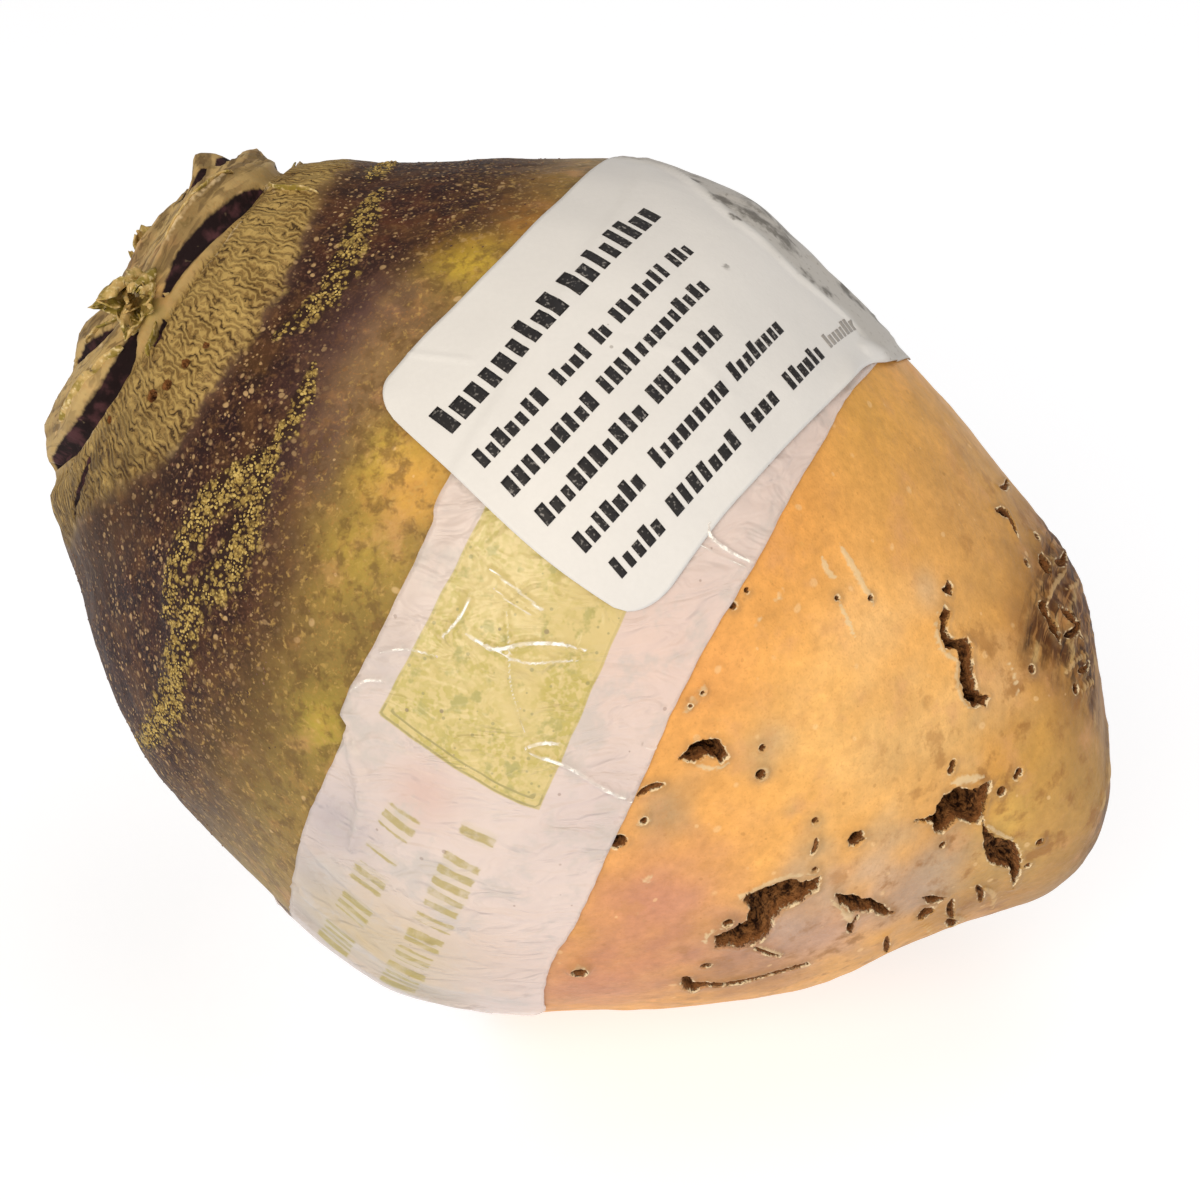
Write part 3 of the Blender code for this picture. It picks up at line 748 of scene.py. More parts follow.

# Creases of the film: half width, height, whiteness, then the course. The white is partly the film's own
# whitening where creased and partly painted highlight.
FILM_CREASES = (
    (0.45, 0.45, 0.9, (95.2, -5.6), (95.4, -9), (94.4, -13)),
    (0.4, 0.35, 0.9, (96, -2.4), (101, -2.9), (105.4, -3.5)),
    (0.4, 0.3, 0.7, (97, -4), (101, -4.6), (104.6, -4.3)),
    (0.45, 0.5, 1, (96.5, -10.6), (101, -10.3), (104, -8), (108, -6), (112, -5)),
    (0.4, 0.35, 0.8, (100, -10.2), (105, -9.9), (109, -7.8), (112, -6.2)),
    (0.4, 0.3, 0.7, (100, -5), (102.6, -9), (105, -13), (109, -17.2)),
    (0.45, 0.45, 1, (109.4, -19.4), (111.6, -17.4), (114.2, -16.4)),
    (0.5, 0.6, 1, (109.6, -19.4), (115.8, -18.9), (121.4, -20.2), (125.4, -21)),
    (0.4, 0.35, 0.8, (87.2, -19.6), (91, -16.4), (95.2, -14.8)),
    (0.45, 0.4, 0.9, (87.4, -25.2), (88.4, -22.8), (90.8, -21.2)),
    (0.5, 0.6, 1, (120.2, 16.2), (121.2, 14.2), (124.6, 13.5), (128.8, 13.4)),
    (0.35, 0.3, 0.8, (120, 12.6), (124, 12.4), (129, 12.7)),
    (0.35, 0.25, 0.7, (123.8, -13.2), (125, -13.6), (125.8, -13.2)),
    (1.6, 0.8, 0.2, (89.4, -31), (92.6, -34), (95.2, -38.6), (96.4, -46)),
    (1.9, 0.6, 0.1, (90.4, -51.6), (99, -52.6), (110, -53.6)),
    (1.8, 0.6, 0.1, (92, -65), (102, -64.4), (114, -66), (124, -64)),
    (1.8, 0.6, 0.1, (93.2, -75), (106, -74.4), (120, -76.2)),
    (1.2, 0.24, 0.1, (104, -40), (112, -43), (123, -42)),
    (1.2, 0.24, 0.1, (112, -30), (118, -27.6), (124.6, -28.4)),
    (0.45, 0.45, 0.8, (82, 152), (92, 150), (104, 153), (112, 148)),
    (0.4, 0.4, 0.8, (90, 118), (104, 121), (122, 116)),
    (1.4, 0.4, 0.2, (80, 172), (96, 176), (118, 171)),
    (0.45, 0.45, 0.9, (80, -160), (90, -156), (104, -159), (113, -154)),
    (1.4, 0.36, 0.2, (80, -136), (94, -131), (112, -134)),
    (0.45, 0.4, 0.8, (88, -106), (100, -109), (116, -104)),
    (1.3, 0.36, 0.2, (92, -92), (108, -95), (122, -90)),
)

# The printed square under the label's foot: its reach and its turn, from and to.
PANEL_REACH = (91.7, 114.7)
PANEL_TURN = (-25.6, 9)
# Soft green bars below it: reach from and to, then their turns from and to.
GREEN_ROWS = (
    (97.6, 102.2, (-39, -34.6), (-43.6, -42.4), (-51, -46.4), (-60, -53.4), (-77, -66)),
    (106.6, 111.4, (-33.2, -30.8), (-47, -36.2), (-50.4, -48.2), (-56, -52), (-62, -57.4), (-78, -63.4)),
)
# Degrees from one soft stroke of the bars to the next.
STROKE_PITCH = 2.3
# Tints of the film, with painted shade of its low folds near turn -72: reach, turn, size, strength and
# colour.
FILM_COLOUR = "F0E2DD"
FILM_TINTS_AND_SHADE = (
    (93, -44, 5.5, 0.75, "C9BFC6"),
    (93.5, -58, 5.5, 0.75, "C6BDC4"),
    (95, -72, 6, 0.7, "BFB6BA"),
    (101, -31, 4, 0.6, "E9C6BC"),
    (121, -24, 6, 0.35, "DCCFD2"),
    (118, -55, 9, 0.4, "EBD3C8"),
    (89, -20, 3, 0.4, "DCD6D8"),
    (112, -72, 6, 0.55, "A9A48E"),
    (122, 4, 5, 0.3, "E0CDCB"),
    (104, -84, 9, 0.4, "C9BDB8"),
    (119, -2, 9, 0.55, "F8DFD4"),
    (100, -66, 10, 0.4, "D6CAA6"),
    (108, -57, 9, 0.45, "DCCBA6"),
    (101, -62, 8, 0.45, "DCC794"),
)

# The label's two long edges, from the printed foot to the far end, as reach and turn.
LABEL_CROWN_EDGE = ((69.4, 11.4), (71.4, 21), (75, 33), (78.5, 46), (81.8, 62), (83.8, 76), (87.5, 92))
LABEL_TAIL_EDGE = ((117.6, 0.8), (121.2, 15), (125, 25), (131.8, 41.5), (136.6, 55), (142.6, 67), (148, 90))
LABEL_FOOT_BOW = -2.6
LABEL_STEP = 0.60
LABEL_CORNER_ACROSS = 0.10
LABEL_CORNER_ALONG = 0.07
LABEL_GAP = 0.26
LABEL_OVER_FILM = 0.34
LABEL_THICK = 0.13

# The fold across the label's far end, past which the paper is painted grey as shade where it turns away from
# the light.
LABEL_FOLD = ((86, 80), (93, 75), (98.5, 69), (103, 64.8), (108, 61.8), (120.5, 60.2), (135, 62))
# Creases and buckles of the label: half width, height, then the course.
LABEL_CREASES = (
    (0.55, 0.22, (70.6, 19.2), (75, 20), (81, 20.8)),
    (1.6, 0.35, *LABEL_FOLD),
    (0.6, 0.4, (92.6, 76), (96.4, 71), (98.6, 67.4)),
    (0.7, 0.3, (103, 68.4), (110, 70.6), (118, 69)),
    (1.2, 0.3, (121, 70.6), (128, 73), (137, 76.6)),
    (2.2, 0.45, (134.6, 57.6), (138, 61.4), (143, 66)),
    (1.6, 0.25, (86, 84), (104, 86), (124, 83), (142, 85)),
    (0.8, 0.16, (97, 30), (108, 33), (120, 31)),
)
# Grey smudges on the label, and painted shade along its fold and creases and past the fold: reach, turn, size
# and strength.
LABEL_SMUDGES_AND_SHADE = (
    (99, 71, 1.2, 0.75),
    (104.6, 66, 1.8, 0.7),
    (107.4, 62, 0.9, 0.55),
    (110, 66.4, 3, 0.5),
    (116, 67.6, 3.4, 0.45),
    (121.6, 62.6, 1.5, 0.5),
    (126, 63.4, 1.7, 0.45),
    (129.6, 72, 1.7, 0.75),
    (133, 73, 1.4, 0.6),
    (136.4, 77, 2, 0.6),
    (108.8, 50.4, 0.6, 0.45),
    (112, 74, 6, 0.35),
    (126, 80, 6, 0.4),
    (100, 78, 5, 0.3),
    (87, 30, 0.4, 0.4),
    (91, 44, 0.4, 0.35),
)

# Rows of plain marks on the label: mark height, pitch, darkness, start and end of the row's middle
# as reach and turn, then each group of marks as shares of the row, from and to.
LABEL_ROWS = (
    (4.6, 2.9, 1, (80.6, 10.4), (94.4, 55.4), ((0, 0.51), (0.545, 1))),
    (2.7, 1.75, 1, (88, 8), (102.2, 50.4), ((0, 0.28), (0.32, 0.47), (0.5, 0.56), (0.59, 0.86), (0.89, 1))),
    (2.7, 1.95, 1, (93.4, 6.6), (106.6, 45.4), ((0, 0.4), (0.43, 1))),
    (2.7, 1.95, 1, (99.2, 5.6), (110.8, 39.4), ((0, 0.54), (0.58, 1))),
    (2.7, 1.85, 1, (105.2, 5), (119.6, 47.4), ((0, 0.26), (0.31, 0.65), (0.69, 1))),
    (2.7, 1.95, 1, (110.8, 4.4), (122.6, 36.4), ((0, 0.26), (0.31, 0.72), (0.77, 1))),
    (2.8, 1.95, 1, (123.8, 38.6), (127.4, 48.8), ((0, 1),)),
    (2.4, 1.5, 0.45, (128, 51), (131.8, 61.4), ((0, 1),)),
)
MARK_THICK = 0.03
MARK_GAP = 0.02
MARK_SHARE = 0.72
MARK_SEED = 11
MARK_LOW = 0.72
MARK_TALL_SHARE = 0.34
LABEL_DEGREE = 1.05

# Dry papery edges that stand on the crown: height, lean towards the tail, then the course.
CROWN_BLADES = (
    (1.5, 0.9, (25.2, 1), (20.2, -5), (14.2, -13), (10.6, -20)),
    (1.4, -0.5, (27.2, -9), (24, -16), (20.8, -23), (17.4, -33)),
    (1.2, 0.6, (29.4, -3.5), (31.2, -6), (33, -9.5)),
    (1, 0.5, (30.4, 58), (33, 51), (37, 50.2), (41, 50.8)),
    (1.1, 0.8, (24.6, 50), (24.2, 40), (23.6, 28), (23.4, 14)),
    (1, -0.6, (27.6, -18), (27.2, -30), (27.4, -44), (26.8, -60)),
    (1, 0.6, (18.8, -26), (17.2, -40), (17, -56)),
    (1.1, 0.5, (31, 84), (31.6, 104), (31, 124)),
    (1.1, 0.5, (31.2, 154), (31.6, 178), (31.4, 200)),
    (1, 0.5, (31.4, 230), (31.2, 250), (31.6, 268)),
    (1.2, 0.4, (12, 120), (12.6, 160), (12, 210)),
)
BLADE_ROWS = 5
BLADE_SUNK = 0.5
BLADE_THICK = 0.22

# Withered scales round the trimmed buds: reach, turn, lean, length, base radius and number.
BUDS = (
    (24.6, -4, 58, 6, 3.5, 13),
    (3, 200, 20, 2.4, 3.2, 9),
    (18, 190, 40, 3, 2.6, 8),
)
BUD_ROWS = 14
BUD_COLUMNS = 9
GOLDEN_TURN = 137.5

# Crumbs that stand on the purple skin: least gap, most a square millimetre, smallest and largest.
CRUMB_GAP = 0.42
CRUMB_MOST = 7.0
CRUMB_SMALL = 0.12
CRUMB_LARGE = 0.34
CRUMB_BARE_SHARE = 0.55
CRUMB_SEED = 7

# Spots smaller than this can't be seen, in millimetres.
FINEST_GRAIN = 0.35

# How far shaken coordinates are shifted, for each millimetre of their amount.
SHAKE_SWING = 1.3


def add(tree, kind, *values, **settings):
    """A node of this kind. A value is a number, a colour or a socket to link from, or None."""
    made = tree.nodes.new(kind)
    for setting, value in settings.items():
        setattr(made, setting, value)
    for socket, value in zip(made.inputs, values):
        join(tree, value, socket)
    return made


def join(tree, value, socket):
    """Link a socket, or set its number or colour."""
    if isinstance(value, bpy.types.NodeSocket):
        tree.links.new(value, socket)
    elif value is not None:
        socket.default_value = value


def calc(tree, operation, *values):
    """The result of a Math node."""
    return add(tree, "ShaderNodeMath", *values, operation=operation).outputs[0]


def times(tree, *values):
    """The product of two values."""
    return calc(tree, "MULTIPLY", *values)


def blend(tree, share, first, second, way="MIX"):
    """Two colours mixed by a share."""
    made = tree.nodes.new("ShaderNodeMix")
    made.data_type = "RGBA"
    made.blend_type = way
    made.clamp_factor = True
    for number, value in ((0, share), (6, first), (7, second)):
        join(tree, value, made.inputs[number])
    return made.outputs[2]


def layer(tree, colour, code, mask, amount=None):
    """A colour with a share of another one over it, where the mask is."""
    return blend(tree, mask if amount is None else times(tree, mask, amount), colour, colour_of(code))


def fade(tree, value, start, end):
    """0 before the start and 1 past the end, smooth between."""
    made = add(tree, "ShaderNodeMapRange", value, start, end, interpolation_type="SMOOTHSTEP")
    return made.outputs["Result"]


def octave_swing(detail, rough):
    """How far noise with this detail swings about its middle, against noise of one octave."""
    shares = rough ** np.arange(detail + 1)
    return math.sqrt((shares**2).sum()) / shares.sum()


def grain(tree, place, size, detail=3.0, rough=0.55):
    """Noise between 0 and 1 with spots of about this size, less the octaves that are too fine to see."""
    seen = min(detail, max(0.0, round(math.log2(size / FINEST_GRAIN))))
    made = add(tree, "ShaderNodeTexNoise", place)
    for socket, value in (("Scale", 1 / (size * MM)), ("Detail", seen), ("Roughness", rough)):
        join(tree, value, made.inputs[socket])
    swing = octave_swing(detail, rough) / octave_swing(seen, rough)
    return calc(tree, "MULTIPLY_ADD", made.outputs[0], swing, 0.5 - 0.5 * swing)


def mark(tree, name):
    """A mask that is kept on the mesh."""
    return add(tree, "ShaderNodeAttribute", attribute_name=name).outputs["Fac"]


def object_place(tree):
    """Object coordinates."""
    return add(tree, "ShaderNodeTexCoord").outputs["Object"]


def stretched(tree, place, scale):
    """Coordinates scaled differently along each axis."""
    return add(tree, "ShaderNodeMapping", place, None, None, scale).outputs[0]


def shaken(tree, place, size, amount):
    """Coordinates shifted by noise, so that a pattern on them is less regular."""
    made = add(tree, "ShaderNodeTexNoise", place)
    made.inputs["Scale"].default_value = 1 / (size * MM)
    made.inputs["Detail"].default_value = 0.0
    middle = add(
        tree, "ShaderNodeVectorMath", made.outputs[1], (0.5, 0.5, 0.5), operation="SUBTRACT"
    ).outputs[0]
    scaled = add(tree, "ShaderNodeVectorMath", middle, operation="SCALE")
    scaled.inputs["Scale"].default_value = SHAKE_SWING * amount * MM
    return add(tree, "ShaderNodeVectorMath", place, scaled.outputs[0], operation="ADD").outputs[0]


def new_material(name):
    """An empty material with its shader."""
    material = bpy.data.materials.new(name)
    material.use_nodes = True
    return material, material.node_tree, material.node_tree.nodes["Principled BSDF"]


def relief(tree, shader, height, distance=1.0):
    """Feed a height in millimetres to a shader as bump."""
    made = add(tree, "ShaderNodeBump")
    made.inputs["Distance"].default_value = distance * MM
    join(tree, height, made.inputs["Height"])
    join(tree, made.outputs[0], shader.inputs["Normal"])


def node_group(name, kind, inputs, output, output_type):
    """A node group of a kind with named inputs and one output, and its two end nodes."""
    tree = bpy.data.node_groups.new(name, kind)
    for socket, socket_type, value in inputs:
        made = tree.interface.new_socket(socket, in_out="INPUT", socket_type=socket_type)
        if value is not None:
            made.default_value = value
    tree.interface.new_socket(output, in_out="OUTPUT", socket_type=output_type)
    return tree, add(tree, "NodeGroupInput"), add(tree, "NodeGroupOutput")


def effect_group(name, inputs, output, output_type):
    """A group of shader nodes."""
    return node_group(name, "ShaderNodeTree", inputs, output, output_type)


def mottle_group():
    """Soft lighter and darker spots over a colour."""
    inputs = (
        ("Vector", "NodeSocketVector", None),
        ("Colour", "NodeSocketColor", None),
        ("Scale", "NodeSocketFloat", 100.0),
        ("Amount", "NodeSocketFloat", 0.1),
    )
    tree, given, result = effect_group("Mottle", inputs, "Colour", "NodeSocketColor")
    spots = add(tree, "ShaderNodeTexNoise", given.outputs["Vector"])
    join(tree, given.outputs["Scale"], spots.inputs["Scale"])
    spots.inputs["Detail"].default_value = 3.0
    spots.inputs["Roughness"].default_value = 0.6
    swing = calc(tree, "MULTIPLY_ADD", spots.outputs[0], 4.0, -2.0)
    bright = calc(tree, "MULTIPLY_ADD", swing, given.outputs["Amount"], 1.0)
    scaled = add(tree, "ShaderNodeVectorMath", given.outputs["Colour"], operation="SCALE")
    join(tree, bright, scaled.inputs["Scale"])
    join(tree, scaled.outputs[0], result.inputs[0])
    return tree


def speckle_group():
    """Small round spots scattered over a surface, on only a share of the places."""
    inputs = (
        ("Vector", "NodeSocketVector", None),
        ("Scale", "NodeSocketFloat", 500.0),
        ("Radius", "NodeSocketFloat", 0.3),
        ("Share", "NodeSocketFloat", 0.4),
        ("From", "NodeSocketFloat", 0.0),
    )
    tree, given, result = effect_group("Speckle", inputs, "Mask", "NodeSocketFloat")
    spots = add(tree, "ShaderNodeTexVoronoi", given.outputs["Vector"])
    join(tree, given.outputs["Scale"], spots.inputs["Scale"])
    chance = add(tree, "ShaderNodeSeparateColor", spots.outputs["Color"])
    radius = times(tree, given.outputs["Radius"], calc(tree, "ADD", chance.outputs[1], 0.5))
    edge = calc(tree, "DIVIDE", spots.outputs["Distance"], radius)
    inside = fade(tree, edge, 1.0, 0.55)
    apart = calc(tree, "ABSOLUTE", calc(tree, "SUBTRACT", chance.outputs[0], given.outputs["From"]))
    kept = calc(tree, "LESS_THAN", apart, given.outputs["Share"])
    join(tree, times(tree, inside, kept), result.inputs[0])
    return tree


GROUP_MAKERS = {"Mottle": mottle_group, "Speckle": speckle_group}


def use_group(tree, name, *values):
    """The output of an effect group placed in a material, made the first time that it is asked for."""
    group = bpy.data.node_groups.get(name) or GROUP_MAKERS[name]()
    return add(tree, "ShaderNodeGroup", *values, node_tree=group).outputs[0]


def mottle(tree, place, colour, size, amount):
    """A colour with soft lighter and darker spots of this size."""
    return use_group(tree, "Mottle", place, colour, 1 / (size * MM), amount)


def speckle(tree, place, size, radius, share, start=0.0):
    """A mask of scattered spots, this far apart, on a share of the places from either end of their order."""
    return use_group(tree, "Speckle", place, 1 / (size * MM), radius, share, start)


def steps_between(stops, end):
    """Places that go on by each stop's own step until the next one, and end at the end."""
    found = []
    for (start, step), (following, _) in zip(stops, (*stops[1:], (end, None))):
        found.append(np.linspace(start, following, max(2, round((following - start) / step)), endpoint=False))
    return np.append(np.concatenate(found), end)


def flat_grid(columns, rows):
    """A bmesh grid whose x runs over the columns and y over the rows."""
    bm = bmesh.new()
    bmesh.ops.create_grid(bm, x_segments=len(columns) - 1, y_segments=len(rows) - 1, size=0.5)
    for vert in bm.verts:
        vert.co.x = columns[round((vert.co.x + 0.5) * (len(columns) - 1))]
        vert.co.y = rows[round((vert.co.y + 0.5) * (len(rows) - 1))]
    return bm


def refine(bm, chosen):
    """Split the faces for which chosen says yes of their middles' x and y into four."""
    bm.faces.ensure_lookup_table()
    middles = np.array([face.calc_center_median()[:2] for face in bm.faces])
    picked = [bm.faces[number] for number in np.flatnonzero(chosen(middles[:, 0], middles[:, 1]))]
    edges = list({edge for face in picked for edge in face.edges})
    bmesh.ops.subdivide_edges(bm, edges=edges, cuts=1, use_grid_fill=True)


def finished_mesh(name, bm):
    """A mesh from a bmesh, which is freed."""
    mesh = bpy.data.meshes.new(name)
    bm.to_mesh(mesh)
    bm.free()
    return mesh


def flat_places(mesh):
    """The x and y of a mesh's points."""
    values = np.empty(len(mesh.vertices) * 3, np.float32)
    mesh.vertices.foreach_get("co", values)
    values = values.reshape(-1, 3).astype(float)
    return values[:, 0], values[:, 1]


def set_places(mesh, places):
    """Put a mesh's points at places in millimetres."""
    mesh.vertices.foreach_set("co", (places * MM).astype(np.float32).ravel())
    mesh.update()


def set_mark(mesh, name, values):
    """Keep a mask or a colour on a mesh's points."""
    if values.ndim == 1:
        mesh.attributes.new(name, "FLOAT", "POINT").data.foreach_set("value", values.astype(np.float32))
        return
    colours = np.column_stack((values, np.ones(len(values))))
    attribute = mesh.attributes.new(name, "FLOAT_COLOR", "POINT")
    attribute.data.foreach_set("color", colours.astype(np.float32).ravel())


def set_map(mesh, name, first, second):
    """A UV map from two numbers at each point."""
    corners = np.empty(len(mesh.loops), np.int32)
    mesh.loops.foreach_get("vertex_index", corners)
    layer = mesh.uv_layers.new(name=name)
    layer.uv.foreach_set("vector", np.column_stack((first, second))[corners].astype(np.float32).ravel())


def close_seams(mesh, distance=0.004):
    """Merge points that lie on each other."""
    bm = bmesh.new()
    bm.from_mesh(mesh)
    bmesh.ops.remove_doubles(bm, verts=bm.verts, dist=distance * MM)
    bmesh.ops.dissolve_degenerate(bm, edges=bm.edges, dist=0.0005 * MM)
    bm.to_mesh(mesh)
    bm.free()


def placed(name, data):
    """A new object in the scene."""
    obj = bpy.data.objects.new(name, data)
    bpy.context.scene.collection.objects.link(obj)
    return obj


def piece(name, mesh, material):
    """A smooth object that rides on the root's body and takes its finish from a slot."""
    mesh.materials.clear()
    mesh.materials.append(material)
    mesh.shade_smooth()
    obj = placed(name, mesh)
    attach(obj, "root")
    return obj


def skin_relief(reach, turn, places):
    """Heights of the fine relief over the skin, and the masks that the material reads."""
    narrows = np.interp(turn, *zip(*CORK_NARROWS))
    purple = ease(reach + narrows, 43.5, 49)
    purple *= ease(reach + 4 * noise_at(places, 14.0) - np.interp(turn, *zip(*PURPLE_SHIFTS)), 82, 64)
    cork = ease(reach, 29, 32.5) * ease(reach + narrows + 1.6 * noise_at(places, 4.0), 48, 43.5)
    lower = ease(reach, 100, 124)
    net, gap, rim, fibre = (np.zeros(len(places)) for _ in range(4))
    for half_width, *path in NET_STREAKS:
        net = np.maximum(net, course_field(reach, places, NET_SPREAD * half_width, path))
    height = 0.07 * noise_at(places, 3.0, 2.0)
    for rows, mask, share, way in (
        (CROWN_GAPS, gap, 1, -1),
        (CROWN_RIMS, rim, 0.8, 1),
        (PALE_TEARS, rim, 1, 1),
        (TAIL_FIBRES, fibre, 1, 1),
    ):
        for half_width, high, *path in rows:
            field = course_field(reach, places, half_width, path)
            np.maximum(mask, share * field, out=mask)
            height += way * high * field
    for wart_reach, wart_turn, radius, high in WARTS:
        apart = np.linalg.norm(places - round_skin(wart_reach, wart_turn), axis=1)
        field = ease(-apart, -radius, -0.5 * radius)
        rim = np.maximum(rim, 0.55 * field)
        height += high * field
    crown = ease(reach, 30, 26)
    rib = ring_noise(reach, turn + 1.6 * noise_at(places, 4.0, 5.0), 4.5, 2.3)
    furrow = ring_noise(reach, turn, 1.5, 34.0)
    streak = ring_noise(reach, turn, 1.7, 26.0)
    tail = 0.6 * ease(reach, 199, 210)
    side = turn_between(turn, SCAR_TURN)
    tail = np.maximum(
        tail,
        ease(reach, 175, 181) * ease(reach, 203, 195) * ease(np.abs(side), SCAR_HALF + 9, SCAR_HALF - 7),
    )
    height += cork * (0.10 * rib + 0.16 * noise_at(places, 2.2, 3.0))
    height += crown * (0.35 * furrow + 0.22 * noise_at(places, 1.5, 7.0))
    height += 0.25 * net + net * 0.20 * noise_at(places, 1.2, 6.0)
    height += purple * 0.10 * noise_at(places, 1.5, 8.0)
    height += tail * (0.30 * streak + 0.12 * noise_at(places, 2.0, 9.0))
    height += lower * 0.05 * noise_at(places, 2.0, 3.5)
    marks = {
        "purple": purple, "cork": cork, "net": net, "gap": gap, "rim": rim, "fibre": fibre,
        # The material paints this relief darker in its hollows and paler on its crests, as shade and
        # highlight.
        "rib": cork * rib + crown * furrow + tail * streak, "crown": crown, "tail": tail,
        "shoulder": ease(reach, 60, 68) * ease(reach, 98, 90),
        "dim": ease(reach, 31, 36) * ease(turn, 0, -40) * ease(reach, 52, 46),
        "soil": np.clip(ease(reach, 148, 182) + 0.6 * ease(reach, 128, 150) * ease(turn, -20, -50), 0, 1),
        "crumbs": np.clip(net * ease(noise_at(places, 5.0, 4.0), -0.7, 0.0) + 0.09 * purple, 0, 1),
    }
    return height, marks


def swede_skin_mesh():
    """The whole grown root as one closed mesh, finer round its pits."""
    rings = steps_between(RING_STEPS, WHOLE_REACH)
    turns = steps_between(TURN_STEPS, 180.0)
    bm = flat_grid(rings, turns)

    def pitted(reach, turn):
        places = round_skin(reach, turn)
        near = pits_apart(reach, turn, places, ragged=False)[0] < 0.9
        for half_width, _, *path in SCRATCHES:
            near |= course_field(reach, places, half_width + 0.6, path) > 0
        return near

    def edge_of_pit(reach, turn):
        return np.abs(pits_apart(reach, turn, round_skin(reach, turn))[0]) < 0.22

    refine(bm, pitted)
    refine(bm, edge_of_pit)
    mesh = finished_mesh("swede_skin", bm)
    reach, turn = flat_places(mesh)
    places = round_skin(reach, turn)
    height, marks = skin_relief(reach, turn, places)
    apart, depth = pits_apart(reach, turn, places)
    inside = ease(-apart, 0, 0.8)
    height += 0.22 * swell((apart - 0.25) / 0.7) * ease(reach, 120, 126)
    height = height * (1 - inside) - depth * (1 + 0.35 * noise_at(places, 1.4, 4.4))
    height += bump_heights(reach, turn, places)
    placed = places + skin_ways(reach, turn)[2] * height[:, None]
    for pole in (rings[0], rings[-1]):
        at_pole = np.abs(reach - pole) < 0.01
        placed[at_pole] = placed[at_pole].mean(axis=0)
    placed[:, 2] = np.maximum(placed[:, 2], 0)
    marks["pit"] = apart
    for name, values in marks.items():
        set_mark(mesh, name, values)
    set_mark(mesh, "paint", skin_paint(reach, places))
    set_map(mesh, "skin_map", turn / 360 + 0.5, reach / WHOLE_REACH)
    set_places(mesh, placed)
    close_seams(mesh)
    return mesh


def sheets_mesh(name, sheets):
    """A mesh of open sheets, each a grid of places in millimetres."""
    bm = bmesh.new()
    for places in sheets:
        rows, columns = places.shape[0] - 1, places.shape[1] - 1
        for vert in bmesh.ops.create_grid(bm, x_segments=columns, y_segments=rows, size=0.5)["verts"]:
            vert.co = places[round((vert.co.y + 0.5) * rows), round((vert.co.x + 0.5) * columns)] * MM
    return finished_mesh(name, bm)


def blade_sheet(high, lean, *path):
    """One dry edge that stands on the crown along its course, as a grid of places."""
    course = curve_through(path, CURVE_STEPS)
    share = np.linspace(0, 1, len(course))
    up = np.linspace(0, 1, BLADE_ROWS)[:, None]
    rise = np.clip(np.sin(math.pi * share), 0, 1) ** 0.4
    along = round_skin(*course.T)
    wave = noise_at(along, 2.6, high) * 0.8 + noise_at(along, 1.0, lean) * 0.35
    reach = course[:, 0] + up * (lean + wave)
    out = up * (high * rise * (1 + 0.45 * wave) + BLADE_SUNK) - BLADE_SUNK
    return skin(reach, np.broadcast_to(course[:, 1], reach.shape), out)


def bud_sheets(reach, turn, lean, length, radius, number):
    """The withered scales round one bud, each as a grid of places."""
    along, _, out = skin_ways(reach, turn)
    axis = unit(out * math.cos(math.radians(lean)) + along * math.sin(math.radians(lean)))
    side = unit(np.cross(axis, (0.3, 0.4, 0.86)))
    front = np.cross(axis, side)
    base = skin(reach, turn) - axis * 1.2
    up = np.linspace(0, 1, BUD_ROWS)[:, None]
    across = np.linspace(-1, 1, BUD_COLUMNS)[None, :]
    sheets = []
    chance = random.Random(number)
    for scale in range(number):
        share = scale / number
        spread = 1.15 - 0.80 * share
        tall = (length + 1.2) * chance.uniform(0.45, 1.10)
        half = math.radians(chance.uniform(30, 62)) * np.sin(math.pi * (0.30 + 0.68 * up)) ** 0.8
        angle = math.radians(scale * GOLDEN_TURN) + half * across + chance.uniform(-0.5, 0.9) * up
        curl = chance.uniform(-0.55, 0.75)
        away = radius * spread * (0.85 + curl * up**2) * (1 + 0.22 * np.cos(4.0 * across + scale))
        ring = side * np.cos(angle)[..., None] + front * np.sin(angle)[..., None]
        places = base + axis * (tall * up)[..., None] + ring * away[..., None]
        wrinkle = noise_at(places.reshape(-1, 3), 1.3, scale).reshape(away.shape)
        sheets.append(places + (ring * 0.95 - axis * 0.9) * (wrinkle * up)[..., None])
    return sheets


def geometry_group(name, inputs):
    """A group of geometry nodes with a mesh in and out."""
    mesh = ("Mesh", "NodeSocketGeometry")
    return node_group(name, "GeometryNodeTree", ((*mesh, None), *inputs), *mesh)


def named(tree, name, kind="FLOAT"):
    """An attribute by its name in a geometry node group."""
    return add(tree, "GeometryNodeInputNamedAttribute", name, data_type=kind).outputs["Attribute"]


def finish_growth(tree, instances, given, result):
    """Make the instances real, give them the group's material and end the group."""
    real = add(tree, "GeometryNodeRealizeInstances", instances).outputs[0]
    painted = add(tree, "GeometryNodeSetMaterial", real)
    join(tree, given.outputs["Material"], painted.inputs["Material"])
    join(tree, painted.outputs[0], result.inputs[0])


